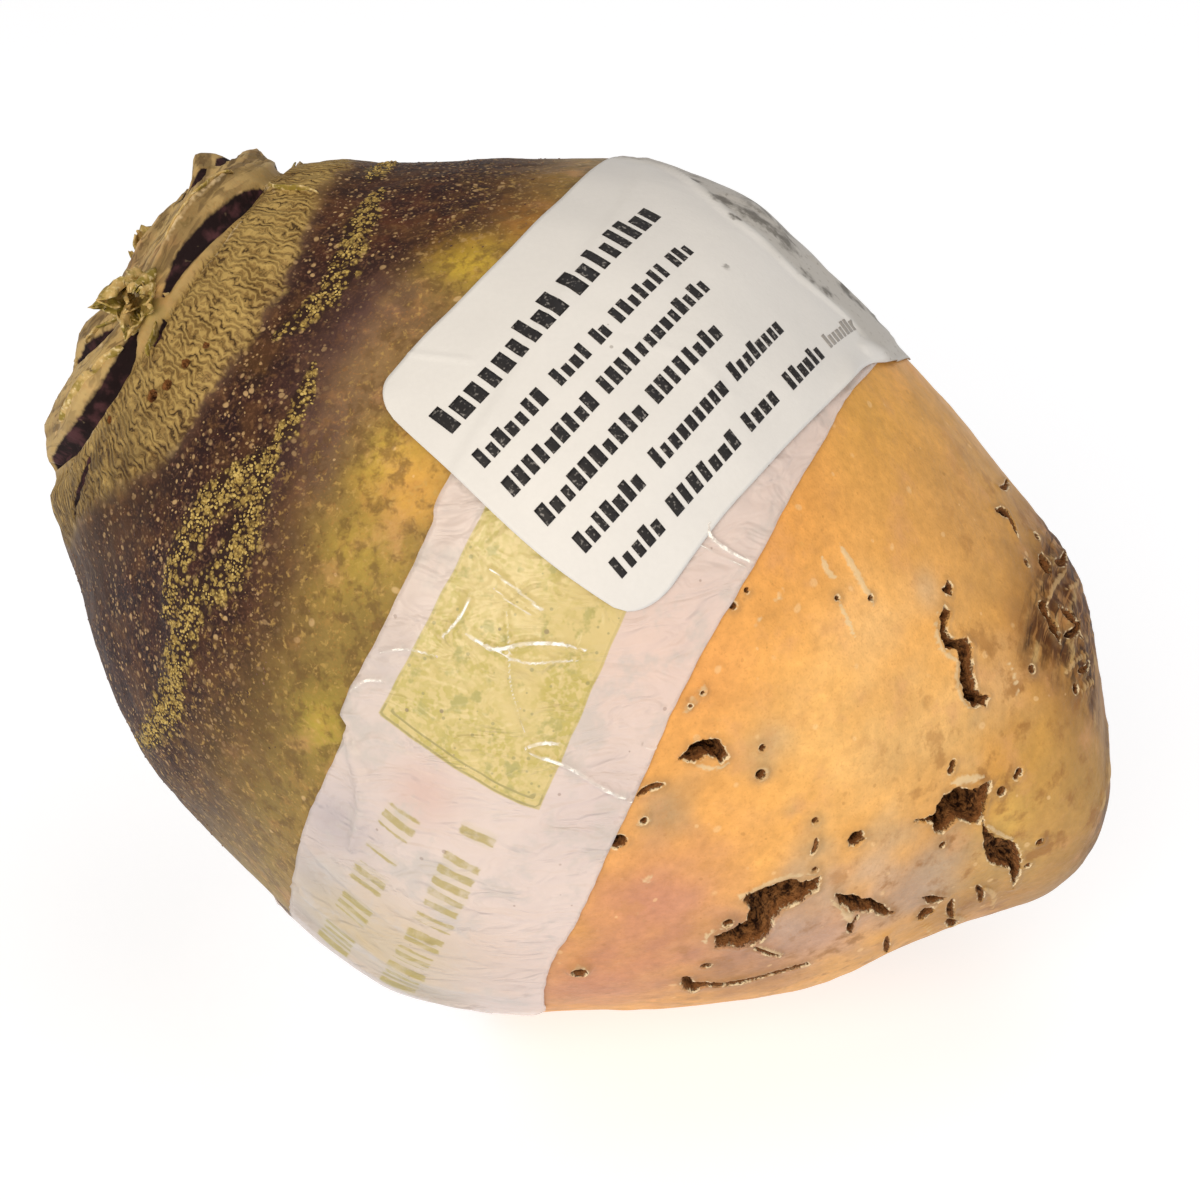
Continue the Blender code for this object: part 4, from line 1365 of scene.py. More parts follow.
def crumb_group():
    """Low crumbs scattered over a mesh where its mark of that name is strong."""
    inputs = (
        ("Least gap", "NodeSocketFloat", CRUMB_GAP * MM),
        ("Most", "NodeSocketFloat", CRUMB_MOST / MM**2),
        ("Smallest", "NodeSocketFloat", CRUMB_SMALL * MM),
        ("Largest", "NodeSocketFloat", CRUMB_LARGE * MM),
        ("Seed", "NodeSocketInt", CRUMB_SEED),
        ("Material", "NodeSocketMaterial", None),
    )
    tree, given, result = geometry_group("Crumbs", inputs)
    spread = add(
        tree, "GeometryNodeDistributePointsOnFaces", given.outputs["Mesh"], distribute_method="POISSON"
    )
    join(tree, given.outputs["Least gap"], spread.inputs["Distance Min"])
    join(tree, given.outputs["Most"], spread.inputs["Density Max"])
    join(tree, named(tree, "crumbs"), spread.inputs["Density Factor"])
    join(tree, given.outputs["Seed"], spread.inputs["Seed"])
    size = add(tree, "FunctionNodeRandomValue", data_type="FLOAT")
    join(tree, given.outputs["Smallest"], size.inputs[2])
    join(tree, given.outputs["Largest"], size.inputs[3])
    stretch = add(
        tree, "FunctionNodeRandomValue", (0.8, 0.6, 0.40), (1.5, 1.0, 0.75), data_type="FLOAT_VECTOR"
    )
    grown = calc(tree, "MULTIPLY_ADD", named(tree, "crumbs"), 1 - CRUMB_BARE_SHARE, CRUMB_BARE_SHARE)
    scale = add(tree, "ShaderNodeVectorMath", stretch.outputs[0], operation="SCALE")
    join(tree, times(tree, size.outputs[1], grown), scale.inputs["Scale"])
    swing = add(
        tree, "FunctionNodeRandomValue", (0.0, 0.0, 0.0), (0.0, 0.0, math.tau), data_type="FLOAT_VECTOR"
    )
    turned = add(tree, "FunctionNodeRotateRotation", spread.outputs["Rotation"], rotation_space="LOCAL")
    join(tree, add(tree, "FunctionNodeEulerToRotation", swing.outputs[0]).outputs[0], turned.inputs[1])
    crumb = add(tree, "GeometryNodeMeshIcoSphere", 1.0, 1).outputs[0]
    placed = add(tree, "GeometryNodeInstanceOnPoints", spread.outputs["Points"])
    join(tree, crumb, placed.inputs["Instance"])
    join(tree, turned.outputs[0], placed.inputs["Rotation"])
    join(tree, scale.outputs[0], placed.inputs["Scale"])
    finish_growth(tree, placed.outputs[0], given, result)
    return tree


def mark_group():
    """A small plate at each point of a mesh, with the point's own size and lean."""
    inputs = (
        ("Columns", "NodeSocketInt", 4),
        ("Rows", "NodeSocketInt", 6),
        ("Material", "NodeSocketMaterial", None),
    )
    tree, given, result = geometry_group("Marks", inputs)
    plate = add(
        tree, "GeometryNodeMeshGrid", 1.0, 1.0, given.outputs["Columns"], given.outputs["Rows"]
    ).outputs[0]
    placed = add(tree, "GeometryNodeInstanceOnPoints", given.outputs["Mesh"])
    join(tree, plate, placed.inputs["Instance"])
    join(tree, named(tree, "lean", "FLOAT_VECTOR"), placed.inputs["Rotation"])
    join(tree, named(tree, "size", "FLOAT_VECTOR"), placed.inputs["Scale"])
    finish_growth(tree, placed.outputs[0], given, result)
    return tree


def grown_piece(name, source, tree, material):
    """An object with the mesh that a geometry node group makes from a source mesh."""
    obj = placed(name, source)
    modifier = obj.modifiers.new("growth", "NODES")
    modifier.node_group = tree
    for socket in tree.interface.items_tree:
        if socket.name == "Material":
            modifier[socket.identifier] = material
    applied(obj)
    obj.data.shade_smooth()
    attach(obj, "root")
    return obj


def mark_points():
    """A point for each plain mark of the label's rows, on a flat sheet in millimetres."""
    chance = random.Random(MARK_SEED)
    places, sizes, leans, darks = [], [], [], []
    for high, pitch, dark, start, end, groups in LABEL_ROWS:
        start = np.array((start[0], start[1] * LABEL_DEGREE))
        way = np.array((end[0], end[1] * LABEL_DEGREE)) - start
        length = np.linalg.norm(way)
        way /= length
        for low, top in groups:
            number = max(1, round((top - low) * length / pitch))
            step = (top - low) * length / number
            for place in range(number):
                tall = high * (1.0 if place == 0 or chance.random() < MARK_TALL_SHARE else MARK_LOW)
                middle = start + way * (low * length + step * (place + 0.5))
                middle += np.array((-way[1], way[0])) * (tall - high) / 2
                places.append((*middle, 0.0))
                sizes.append((step * MARK_SHARE * chance.uniform(0.75, 1.1), tall, 1.0))
                leans.append((0.0, 0.0, math.atan2(way[1], way[0])))
                darks.append(dark)
    mesh = bpy.data.meshes.new("mark_points")
    mesh.vertices.add(len(places))
    mesh.vertices.foreach_set("co", np.array(places, np.float32).ravel())
    for name, rows in (("size", sizes), ("lean", leans)):
        values = np.array(rows, np.float32).ravel()
        mesh.attributes.new(name, "FLOAT_VECTOR", "POINT").data.foreach_set("vector", values)
    set_mark(mesh, "dark", np.array(darks))
    return mesh


def edge_at(edge, turn):
    """Reach of a film edge at some turns, along a smooth course."""
    course = curve_through(edge, CURVE_STEPS)
    return np.interp(turn, course[:, 0], course[:, 1])


def film_out(reach, turn, places):
    """How far the film lies off the soft skin, with its creases, and how white its creases are, partly as
    painted highlight.
    """
    out = FILM_GAP + 0.10 * noise_at(places, 11.0, 3.0) + 0.05 * noise_at(places, 3.5, 5.0)
    white = np.zeros(len(places))
    for half_width, high, whiteness, *path in FILM_CREASES:
        field = course_field(reach, places, half_width, path)
        out += high * field
        white = np.maximum(white, whiteness * field)
    crown_edge, tail_edge = edge_at(FILM_CROWN_EDGE, turn), edge_at(FILM_TAIL_EDGE, turn)
    free_edge = np.exp(-np.minimum(reach - crown_edge, tail_edge - reach) / 0.8)
    out += 0.10 * free_edge * (1 + noise_at(places, 5.0, 6.0))
    return np.maximum(out, 0.12), white


def band_apart(value, start, end):
    """How far inside a stretch a value lies, negative outside it."""
    return np.minimum(value - start, end - value)


def film_print(reach, turn, places):
    """How far inside the printed square and inside the soft bars each place lies."""
    per_degree = math.radians(1) * np.interp(reach, OUTLINE_REACH, OUTLINE_RADIUS)
    wave = 0.25 * noise_at(places, 4.0, 7.0)
    panel = np.minimum(band_apart(reach, *PANEL_REACH), band_apart(turn, *PANEL_TURN) * per_degree) + wave
    bars = np.full(len(reach), -9.0)
    for start, end, *spans in GREEN_ROWS:
        for low, high in spans:
            bar = np.minimum(band_apart(reach, start, end), band_apart(turn, low, high) * per_degree)
            bars = np.maximum(bars, bar + 1.5 * wave)
    return panel, bars


def thicken(obj, thickness):
    """Give an open sheet its thickness, away from the root, as plain mesh."""
    solidify = obj.modifiers.new("thickness", "SOLIDIFY")
    solidify.thickness = thickness * MM
    solidify.offset = 1.0
    applied(obj)


def line_inside(obj, material, count):
    """Give the inner side of a thickened sheet, made of the points past its own, another finish."""
    obj.data.materials.append(material)
    for face in obj.data.polygons:
        if min(face.vertices) >= count:
            face.material_index = 1


def applied(obj):
    """Turn an object's modifiers into plain mesh."""
    evaluated = obj.evaluated_get(bpy.context.evaluated_depsgraph_get())
    mesh = bpy.data.meshes.new_from_object(evaluated)
    mesh.name = obj.name
    obj.modifiers.clear()
    obj.data = mesh


def film_mesh():
    """The film as an open sheet once round the root, finer along its creases."""
    shares = np.linspace(0, 1, FILM_STRIPS + 1)
    turns = steps_between(FILM_TURN_STEPS, 180.0)
    bm = flat_grid(shares, turns)

    def creased(share, turn):
        crown_edge = edge_at(FILM_CROWN_EDGE, turn)
        reach = crown_edge + (edge_at(FILM_TAIL_EDGE, turn) - crown_edge) * share
        return film_out(reach, turn, round_skin(reach, turn))[1] > 0.1

    refine(bm, creased)
    mesh = finished_mesh("film_wrap", bm)
    share, turn = flat_places(mesh)
    crown_edge, tail_edge = edge_at(FILM_CROWN_EDGE, turn), edge_at(FILM_TAIL_EDGE, turn)
    reach = crown_edge + (tail_edge - crown_edge) * share
    places = round_skin(reach, turn)
    reach += 0.16 * noise_at(places, 2.2, 1.0) * (np.abs(2 * share - 1) ** 6)
    out, white = film_out(reach, turn, places)
    panel, bars = film_print(reach, turn, places)
    # White along the creases: partly the film's whitening where creased, partly painted highlight.
    set_mark(mesh, "crease_glint", white)
    set_mark(mesh, "panel", panel)
    set_mark(mesh, "bars", bars)
    set_mark(mesh, "panel_foot", turn - PANEL_TURN[0])
    set_mark(mesh, "thin", ease(reach, crown_edge + 9, crown_edge + 1) * ease(turn, -30, -10))
    # Tints of the film, and painted shade of its low folds.
    cloudy = np.tile(paint(FILM_COLOUR), (len(places), 1))
    set_mark(mesh, "paint", patched(places, cloudy, FILM_TINTS_AND_SHADE))
    set_map(mesh, "film_map", turn / 360 + 0.5, reach / WHOLE_REACH)
    set_places(mesh, skin(reach, turn, out))
    close_seams(mesh)
    return mesh


def corner_inset(share):
    """How much narrower the label is at this share of its length, as a share of its width."""
    inside = np.clip(np.minimum(share, 1 - share) / LABEL_CORNER_ALONG, 0, 1)
    return LABEL_CORNER_ACROSS * (1 - np.sqrt(1 - (1 - inside) ** 2))


def label_out(reach, turn, places):
    """How far the label lies off the soft skin, over the film and with its creases."""
    crown_edge, tail_edge = edge_at(FILM_CROWN_EDGE, turn), edge_at(FILM_TAIL_EDGE, turn)
    over_film = ease(reach, crown_edge - 1.2, crown_edge + 0.6)
    over_film *= ease(reach, tail_edge + 1.2, tail_edge - 0.6)
    out = LABEL_GAP + LABEL_OVER_FILM * over_film + 0.10 * noise_at(places, 13.0, 2.0)
    out += 0.16 * over_film * np.abs(noise_at(places, 6.0, 5.0)) * ease(turn, 50, 66)
    for half_width, high, *path in LABEL_CREASES:
        out += high * course_field(reach, places, half_width, path)
    lift = np.exp(-(((reach - 134.5) / 2.2) ** 2) - ((turn - 46.0) / 6.5) ** 2)
    corner = np.exp(-(((reach - 70.0) / 3.0) ** 2) - ((turn - 11.5) / 3.0) ** 2)
    return out + 0.9 * lift + 0.35 * corner


def label_place(share, across):
    """Reach and turn at shares of the label's length and width."""
    crown_edge = curve_through(LABEL_CROWN_EDGE, CURVE_STEPS)
    tail_edge = curve_through(LABEL_TAIL_EDGE, CURVE_STEPS)
    stations = np.linspace(0, 1, len(crown_edge))
    inset = corner_inset(share)
    across = inset + (1 - 2 * inset) * across
    ends = [
        np.interp(share, stations, edge[:, column]) for column in (0, 1) for edge in (crown_edge, tail_edge)
    ]
    reach = ends[0] + (ends[1] - ends[0]) * across
    turn = ends[2] + (ends[3] - ends[2]) * across
    return reach, turn + LABEL_FOOT_BOW * 4 * across * (1 - across) * (1 - share) ** 3


def label_mesh():
    """The label as an open sheet."""
    length = np.linalg.norm(
        np.diff(round_skin(*curve_through(LABEL_TAIL_EDGE, CURVE_STEPS).T), axis=0), axis=1
    ).sum()
    width = np.linalg.norm(round_skin(*LABEL_CROWN_EDGE[0]) - round_skin(*LABEL_TAIL_EDGE[0]))
    shares = (1 - np.cos(math.pi * np.linspace(0, 1, round(length / LABEL_STEP) + 1))) / 2
    shares = 0.7 * np.linspace(0, 1, len(shares)) + 0.3 * shares
    bm = flat_grid(np.linspace(0, 1, round(width / LABEL_STEP) + 1), shares)
    mesh = finished_mesh("label_paper", bm)
    across, share = flat_places(mesh)
    reach, turn = label_place(share, across)
    places = round_skin(reach, turn)
    # Grey smudges, with painted shade along the fold and the creases and past the fold.
    smudge_and_shade = np.zeros(len(places))
    for grey_reach, grey_turn, size, strength in LABEL_SMUDGES_AND_SHADE:
        apart = np.linalg.norm(places - round_skin(grey_reach, grey_turn), axis=1)
        smudge_and_shade = np.maximum(smudge_and_shade, strength * np.exp(-((apart / size) ** 2)))
    set_mark(mesh, "smudge_and_shade", smudge_and_shade)
    # Past the fold the paper is painted grey, as shade where it turns away from the light.
    past_fold = turn - np.interp(reach, *np.transpose(LABEL_FOLD)) + 1.6 * noise_at(places, 5.0, 6.0)
    set_mark(mesh, "far", ease(past_fold, -2.0, 2.5))
    set_places(mesh, skin(reach, turn, label_out(reach, turn, places)))
    return mesh


def skin_material():
    """Purple and netted towards the crown, orange towards the tail, brown and rough in the pits."""
    material, tree, shader = new_material("swede_skin")
    place = object_place(tree)
    uneven = shaken(tree, place, 1.6, 0.5)
    soft = grain(tree, place, 3.0)
    fine = grain(tree, place, 0.9)
    dust = grain(tree, place, 0.32, 2.0)
    crisp = grain(tree, uneven, 1.0, 5.0, 0.7)
    small = grain(tree, uneven, 1.5, 4.0)
    patch = grain(tree, uneven, 2.4, 5.0, 0.66)
    middling = grain(tree, uneven, 3.4, 5.0, 0.65)
    broad = grain(tree, uneven, 5.0, 5.0, 0.65)
    wide = grain(tree, uneven, 8.0, 5.0, 0.62)
    colour = add(tree, "ShaderNodeAttribute", attribute_name="paint").outputs["Color"]
    colour = mottle(tree, place, colour, 7.0, 0.13)
    colour = mottle(tree, place, colour, 1.3, 0.11)
    lower = calc(tree, "SUBTRACT", 1.0, calc(tree, "MAXIMUM", mark(tree, "purple"), mark(tree, "cork")))

    dots = times(tree, speckle(tree, uneven, 2.6, 0.13, 0.45), lower)
    colour = layer(tree, colour, "8E5E2E", dots, 0.28)
    pale = times(tree, speckle(tree, uneven, 2.6, 0.20, 0.24, 1.0), lower)
    colour = layer(tree, colour, "F0CC98", pale, 0.40)
    veil = times(tree, fade(tree, wide, 0.52, 0.73), lower)
    colour = layer(tree, colour, "D69E70", veil, 0.40)
    bruise = times(tree, fade(tree, broad, 0.54, 0.70), lower)
    colour = layer(tree, colour, "BE8A50", bruise, 0.30)
    pores = times(tree, fade(tree, dust, 0.56, 0.70), lower)
    colour = layer(tree, colour, "B87C40", pores, 0.22)

    purple = mark(tree, "purple")
    colour = blend(tree, times(tree, purple, 0.88), colour, (0.25, 0.11, 0.075, 1.0), "MULTIPLY")
    shade = times(tree, fade(tree, middling, 0.38, 0.58), purple)
    colour = layer(tree, colour, "221214", shade, 0.76)
    tan = fade(tree, crisp, 0.53, 0.66)
    colour = layer(tree, colour, "7A5A3A", times(tree, tan, purple), 0.46)
    flecks = calc(
        tree, "MAXIMUM", speckle(tree, uneven, 1.2, 0.31, 0.60), speckle(tree, uneven, 0.72, 0.31, 0.50)
    )
    flecks = times(tree, times(tree, flecks, fade(tree, soft, 0.30, 0.58)), purple)
    colour = layer(tree, colour, "BE9E70", flecks, 0.85)
    sand = times(tree, fade(tree, grain(tree, place, 0.42, 2.0), 0.54, 0.66), purple)
    colour = layer(tree, colour, "8C644C", sand, 0.26)
    olive = times(tree, fade(tree, wide, 0.50, 0.66), purple)
    colour = layer(tree, colour, "6A4828", olive, 0.36)
    shoulder = mark(tree, "shoulder")
    haze = times(tree, fade(tree, patch, 0.46, 0.64), shoulder)
    colour = layer(tree, colour, "604628", haze, 0.60)
    glow = times(tree, fade(tree, crisp, 0.54, 0.67), shoulder)
    colour = layer(tree, colour, "BE9C58", glow, 0.50)

    net = fade(
        tree, calc(tree, "ADD", mark(tree, "net"), calc(tree, "MULTIPLY_ADD", soft, 2.0, -1.1)), 0.10, 0.55
    )
    net = times(tree, net, fade(tree, mark(tree, "net"), 0.0, 0.10))
    crumbs = calc(
        tree, "MAXIMUM", speckle(tree, uneven, 1.2, 0.49, 0.92), speckle(tree, uneven, 0.72, 0.47, 0.70)
    )
    knot = times(tree, crumbs, fade(tree, fine, 0.28, 0.50))
    net_colour = blend(tree, fade(tree, dust, 0.40, 0.62), colour_of("8E7438"), colour_of("C2A85C"))
    net_colour = blend(tree, knot, colour_of("2C1A14"), net_colour)
    colour = blend(tree, times(tree, net, 0.85), colour, net_colour)

    ragged = calc(tree, "MULTIPLY_ADD", patch, 1.4, calc(tree, "SUBTRACT", mark(tree, "cork"), 0.70))
    cork = fade(tree, ragged, 0.15, 0.75)
    tan_colour = blend(tree, fade(tree, broad, 0.38, 0.62), colour_of("75582C"), colour_of("AE9054"))
    colour = blend(tree, times(tree, cork, 0.72), colour, tan_colour)
    crack_place = stretched(
        tree, add(tree, "ShaderNodeUVMap", uv_map="skin_map").outputs[0], (60.0, 62.0, 1.0)
    )
    waves = add(tree, "ShaderNodeTexWave", crack_place)
    for socket, value in (("Scale", 1.0), ("Distortion", 12.0), ("Detail", 3.0), ("Detail Scale", 1.5)):
        waves.inputs[socket].default_value = value
    broken = fade(tree, small, 0.46, 0.60)
    furrow = fade(tree, waves.outputs["Fac"], 0.20, 0.03)
    crest = fade(tree, waves.outputs["Fac"], 0.45, 0.95)
    crack = times(tree, furrow, times(tree, broken, cork))
    ridge = times(tree, crest, cork)
    # On the cork the crests are painted paler as highlight and the cracks darker as shade.
    colour = layer(tree, colour, "C4A866", ridge, 0.45)
    colour = layer(tree, colour, "3A2816", crack, 0.88)
    dim = times(tree, fade(tree, patch, 0.30, 0.62), mark(tree, "dim"))
    colour = layer(tree, colour, "3E2C20", dim, 0.70)
    # Painted shade in the hollows and painted highlight on the crests of the crown's and the tail's relief.
    rib = times(tree, mark(tree, "rib"), calc(tree, "SUBTRACT", 1.0, cork))
    colour = layer(tree, colour, "4A361C", fade(tree, rib, 0.02, -0.30), 0.52)
    colour = layer(tree, colour, "C2A872", fade(tree, rib, 0.02, 0.35), 0.55)

    tail = mark(tree, "tail")
    scar = times(tree, fade(tree, middling, 0.38, 0.56), tail)
    colour = layer(tree, colour, "4C280C", scar, 0.92)
    strand_place = stretched(
        tree, add(tree, "ShaderNodeUVMap", uv_map="skin_map").outputs[0], (20.0, 150.0, 1.0)
    )
    strand = add(tree, "ShaderNodeTexNoise", strand_place)
    strand.inputs["Scale"].default_value = 1.0
    strand.inputs["Distortion"].default_value = 1.6
    dark_strand = times(tree, fade(tree, strand.outputs[0], 0.44, 0.34), tail)
    colour = layer(tree, colour, "2E1808", dark_strand, 0.85)
    pale_strand = times(tree, fade(tree, strand.outputs[0], 0.56, 0.64), tail)
    colour = layer(tree, colour, "B0804A", pale_strand, 0.50)
    soil = times(tree, fade(tree, broad, 0.52, 0.67), mark(tree, "soil"))
    colour = layer(tree, colour, "8A5C2A", soil, 0.62)

    crown = mark(tree, "crown")
    moss = times(tree, fade(tree, patch, 0.54, 0.66), crown)
    colour = layer(tree, colour, "5C4C26", moss, 0.42)
    vein = times(tree, fade(tree, strand.outputs[0], 0.47, 0.38), crown)
    colour = layer(tree, colour, "54402A", vein, 0.55)
    # Painted shade in the gaps between the leaf bases.
    gap = fade(
        tree,
        calc(tree, "ADD", mark(tree, "gap"), calc(tree, "MULTIPLY_ADD", fine, 0.24, -0.12)),
        0.14,
        0.34,
    )
    gap_colour = blend(tree, fade(tree, soft, 0.45, 0.70), colour_of("1E1214"), colour_of("4E3034"))
    colour = blend(tree, gap, colour, gap_colour)

    fibre = fade(
        tree,
        calc(tree, "ADD", mark(tree, "fibre"), calc(tree, "MULTIPLY_ADD", fine, 0.8, -0.4)),
        0.25,
        0.75,
    )
    colour = layer(tree, colour, "D0AE7C", fibre, 0.60)
    rim = fade(
        tree, calc(tree, "ADD", mark(tree, "rim"), calc(tree, "MULTIPLY_ADD", fine, 1.5, -0.80)), 0.20, 0.75
    )
    colour = layer(tree, colour, "DEC69C", rim, 0.72)

    pit = calc(tree, "ADD", mark(tree, "pit"), calc(tree, "MULTIPLY_ADD", dust, 0.36, -0.18))
    stain = times(tree, fade(tree, pit, 1.6, 0.1), fade(tree, soft, 0.30, 0.64))
    stain = times(tree, stain, calc(tree, "SUBTRACT", 1.0, cork))
    colour = layer(tree, colour, "94744E", stain, 0.45)
    lip = times(tree, fade(tree, pit, 0.30, 0.10), fade(tree, small, 0.46, 0.58))
    lip = times(tree, lip, calc(tree, "SUBTRACT", 1.0, cork))
    colour = layer(tree, colour, "ECD6AE", lip, 0.85)
    inside = fade(tree, pit, 0.05, -0.07)
    torn = fade(tree, crisp, 0.38, 0.62)
    floor_colour = blend(tree, torn, colour_of("2E180C"), colour_of("9A6A3E"))
    wall_colour = blend(tree, fade(tree, pit, -0.04, -0.32), colour_of("84552E"), floor_colour)
    colour = blend(tree, inside, colour, wall_colour)
    join(tree, colour, shader.inputs["Base Color"])

    rough = calc(tree, "MULTIPLY_ADD", soft, 0.22, 0.36)
    rough = calc(tree, "ADD", rough, times(tree, calc(tree, "MAXIMUM", purple, tail), 0.14))
    rough = calc(tree, "ADD", rough, times(tree, calc(tree, "MAXIMUM", cork, crown), 0.20))
    rough = calc(tree, "MAXIMUM", rough, times(tree, calc(tree, "MAXIMUM", inside, gap), 0.85))
    join(tree, rough, shader.inputs["Roughness"])

    height = times(tree, fine, 0.10)
    height = calc(tree, "MULTIPLY_ADD", dust, 0.05, height)
    knots = times(tree, crisp, mark(tree, "net"))
    height = calc(tree, "MULTIPLY_ADD", knots, 0.50, height)
    corky = calc(tree, "MULTIPLY_ADD", furrow, -0.30, times(tree, crest, 0.12))
    height = calc(tree, "MULTIPLY_ADD", corky, fade(tree, mark(tree, "cork"), 0.2, 0.8), height)
    height = calc(tree, "MULTIPLY_ADD", times(tree, inside, crisp), 0.90, height)
    relief(tree, shader, height)
    return material


def film_material(clearness):
    """Cloudy see-through film with a mottled green square, soft green bars, and white creases that are partly
    painted highlight.
    """
    material, tree, shader = new_material("cloudy_film")
    place = object_place(tree)
    soft = grain(tree, place, 5.0)
    fine = grain(tree, place, 0.8)
    patch = grain(tree, place, 2.1)
    middling = grain(tree, place, 2.8, 4.0, 0.6)
    broad = grain(tree, place, 7.0, 5.0, 0.62)
    colour = add(tree, "ShaderNodeAttribute", attribute_name="paint").outputs["Color"]
    colour = mottle(tree, place, colour, 9.0, 0.05)
    colour = layer(tree, colour, "DDD6D2", fade(tree, broad, 0.50, 0.67))
    panel = mark(tree, "panel")
    inside = fade(tree, panel, -0.12, 0.15)
    patchy = fade(tree, broad, 0.32, 0.60)
    green = blend(tree, patchy, colour_of("E6D27E"), colour_of("C8BA38"))
    green = layer(tree, green, "E4D07A", fade(tree, fine, 0.42, 0.60))
    dots = speckle(tree, place, 1.5, 0.17, 0.75)
    green = layer(tree, green, "868A30", dots, 0.6)
    green = layer(tree, green, "B4AE3C", fade(tree, middling, 0.56, 0.68))
    foot = calc(tree, "MULTIPLY_ADD", fade(tree, mark(tree, "panel_foot"), 2.2, 1.6), 0.60, 0.30)
    line = times(tree, fade(tree, panel, 0.05, 0.18), fade(tree, panel, 0.50, 0.32))
    second = times(tree, fade(tree, panel, 1.10, 1.20), fade(tree, panel, 1.50, 1.36))
    second = times(tree, second, fade(tree, mark(tree, "panel_foot"), 2.2, 1.6))
    lines = times(tree, calc(tree, "MAXIMUM", line, second), foot)
    green = layer(tree, green, "9E962A", lines)
    colour = blend(tree, times(tree, inside, 0.86), colour, green)
    bars = calc(tree, "MULTIPLY_ADD", fine, 0.6, calc(tree, "SUBTRACT", mark(tree, "bars"), 0.3))
    course = add(tree, "ShaderNodeSeparateXYZ", add(tree, "ShaderNodeUVMap", uv_map="film_map").outputs[0])
    count = calc(tree, "MULTIPLY_ADD", course.outputs["X"], 360 / STROKE_PITCH, times(tree, soft, 0.5))
    apart = calc(tree, "ABSOLUTE", calc(tree, "SUBTRACT", calc(tree, "FRACT", count), 0.5))
    stroke = times(tree, fade(tree, apart, 0.34, 0.22), fade(tree, bars, -0.05, 0.30))
    faded = fade(tree, patch, 0.30, 0.56)
    stroke = times(tree, stroke, calc(tree, "MULTIPLY_ADD", faded, 0.50, 0.30))
    colour = layer(tree, colour, "DCD396", fade(tree, bars, -0.3, 0.6), 0.22)
    colour = layer(tree, colour, "B4A63A", stroke)
    grit = speckle(tree, place, 1.5, 0.19, 0.05)
    colour = layer(tree, colour, "8A7264", grit, 0.5)
    # White along the creases: partly the film's whitening where creased, partly painted highlight, broken up
    # by noise.
    white = mark(tree, "crease_glint")
    patchy_share = calc(tree, "MULTIPLY_ADD", fade(tree, patch, 0.40, 0.56), 0.6, 0.4)
    glint = times(tree, fade(tree, white, 0.42, 0.80), patchy_share)
    colour = layer(tree, colour, "FFFDF8", glint)
    join(tree, colour, shader.inputs["Base Color"])
    join(tree, calc(tree, "MULTIPLY_ADD", soft, 0.16, 0.24), shader.inputs["Roughness"])
    shader.inputs["Specular IOR Level"].default_value = 0.5
    shader.inputs["Coat Weight"].default_value = 0.25
    shader.inputs["Coat Roughness"].default_value = 0.16
    cover = calc(tree, "MULTIPLY_ADD", soft, 0.10, 1 - clearness - 0.05)
    cover = calc(tree, "MULTIPLY_ADD", mark(tree, "thin"), -0.16, cover)
    cover = calc(tree, "MAXIMUM", cover, times(tree, inside, 0.70))
    cover = calc(tree, "MAXIMUM", cover, glint)
    join(tree, cover, shader.inputs["Alpha"])
    folds = add(tree, "ShaderNodeTexNoise", stretched(tree, place, (120.0, 120.0, 260.0)))
    folds.inputs["Distortion"].default_value = 1.6
    folds.inputs["Scale"].default_value = 1.0
    relief(tree, shader, times(tree, folds.outputs[0], 1.15))
    return material


def film_inside_material(clearness):
    """The inner side of the film, plain and see-through."""
    material, tree, shader = new_material("film_inside")
    colour = add(tree, "ShaderNodeAttribute", attribute_name="paint").outputs["Color"]
    join(tree, colour, shader.inputs["Base Color"])
    shader.inputs["Roughness"].default_value = 0.32
    shader.inputs["Alpha"].default_value = 1 - clearness
    return material


def paper_material():
    """Matt label paper with faint fibres, grey smudges, and painted shade along its fold and past it."""
    material, tree, shader = new_material("label_paper")
    place = object_place(tree)
    fine = grain(tree, place, 0.5)
    colour = mottle(tree, place, colour_of("DBDAD9"), 12.0, 0.02)
    colour = mottle(tree, place, colour, 0.8, 0.015)
    # Painted shade: the paper past the fold is greyer.
    colour = layer(tree, colour, "B2AEA8", mark(tree, "far"), 0.80)
    # Grey smudges, and painted shade along the fold and the creases and past the fold.
    smudge_and_shade = calc(tree, "MULTIPLY_ADD", grain(tree, place, 2.0, 5.0, 0.68), 1.6, -0.74)
    smudge_and_shade = calc(tree, "ADD", smudge_and_shade, mark(tree, "smudge_and_shade"))
    smudge_and_shade = times(tree, fade(tree, smudge_and_shade, 0.10, 0.60), fade(tree, mark(tree, "smudge_and_shade"), 0.03, 0.25))
    colour = layer(tree, colour, "625E58", smudge_and_shade, 0.90)
    # Darker grey spots within that painted shade past the fold.
    spots = times(tree, fade(tree, grain(tree, place, 0.9, 5.0, 0.7), 0.58, 0.66), mark(tree, "far"))
    colour = layer(tree, colour, "807A72", spots, 0.55)
    grit = speckle(tree, place, 5.0, 0.045, 0.40)
    colour = layer(tree, colour, "8A8078", grit, 0.55)
    join(tree, colour, shader.inputs["Base Color"])
    join(tree, calc(tree, "MULTIPLY_ADD", fine, 0.15, 0.48), shader.inputs["Roughness"])
    shader.inputs["Specular IOR Level"].default_value = 0.35
    relief(tree, shader, calc(tree, "MULTIPLY_ADD", grain(tree, place, 6.0), 0.10, times(tree, fine, 0.025)))
    return material


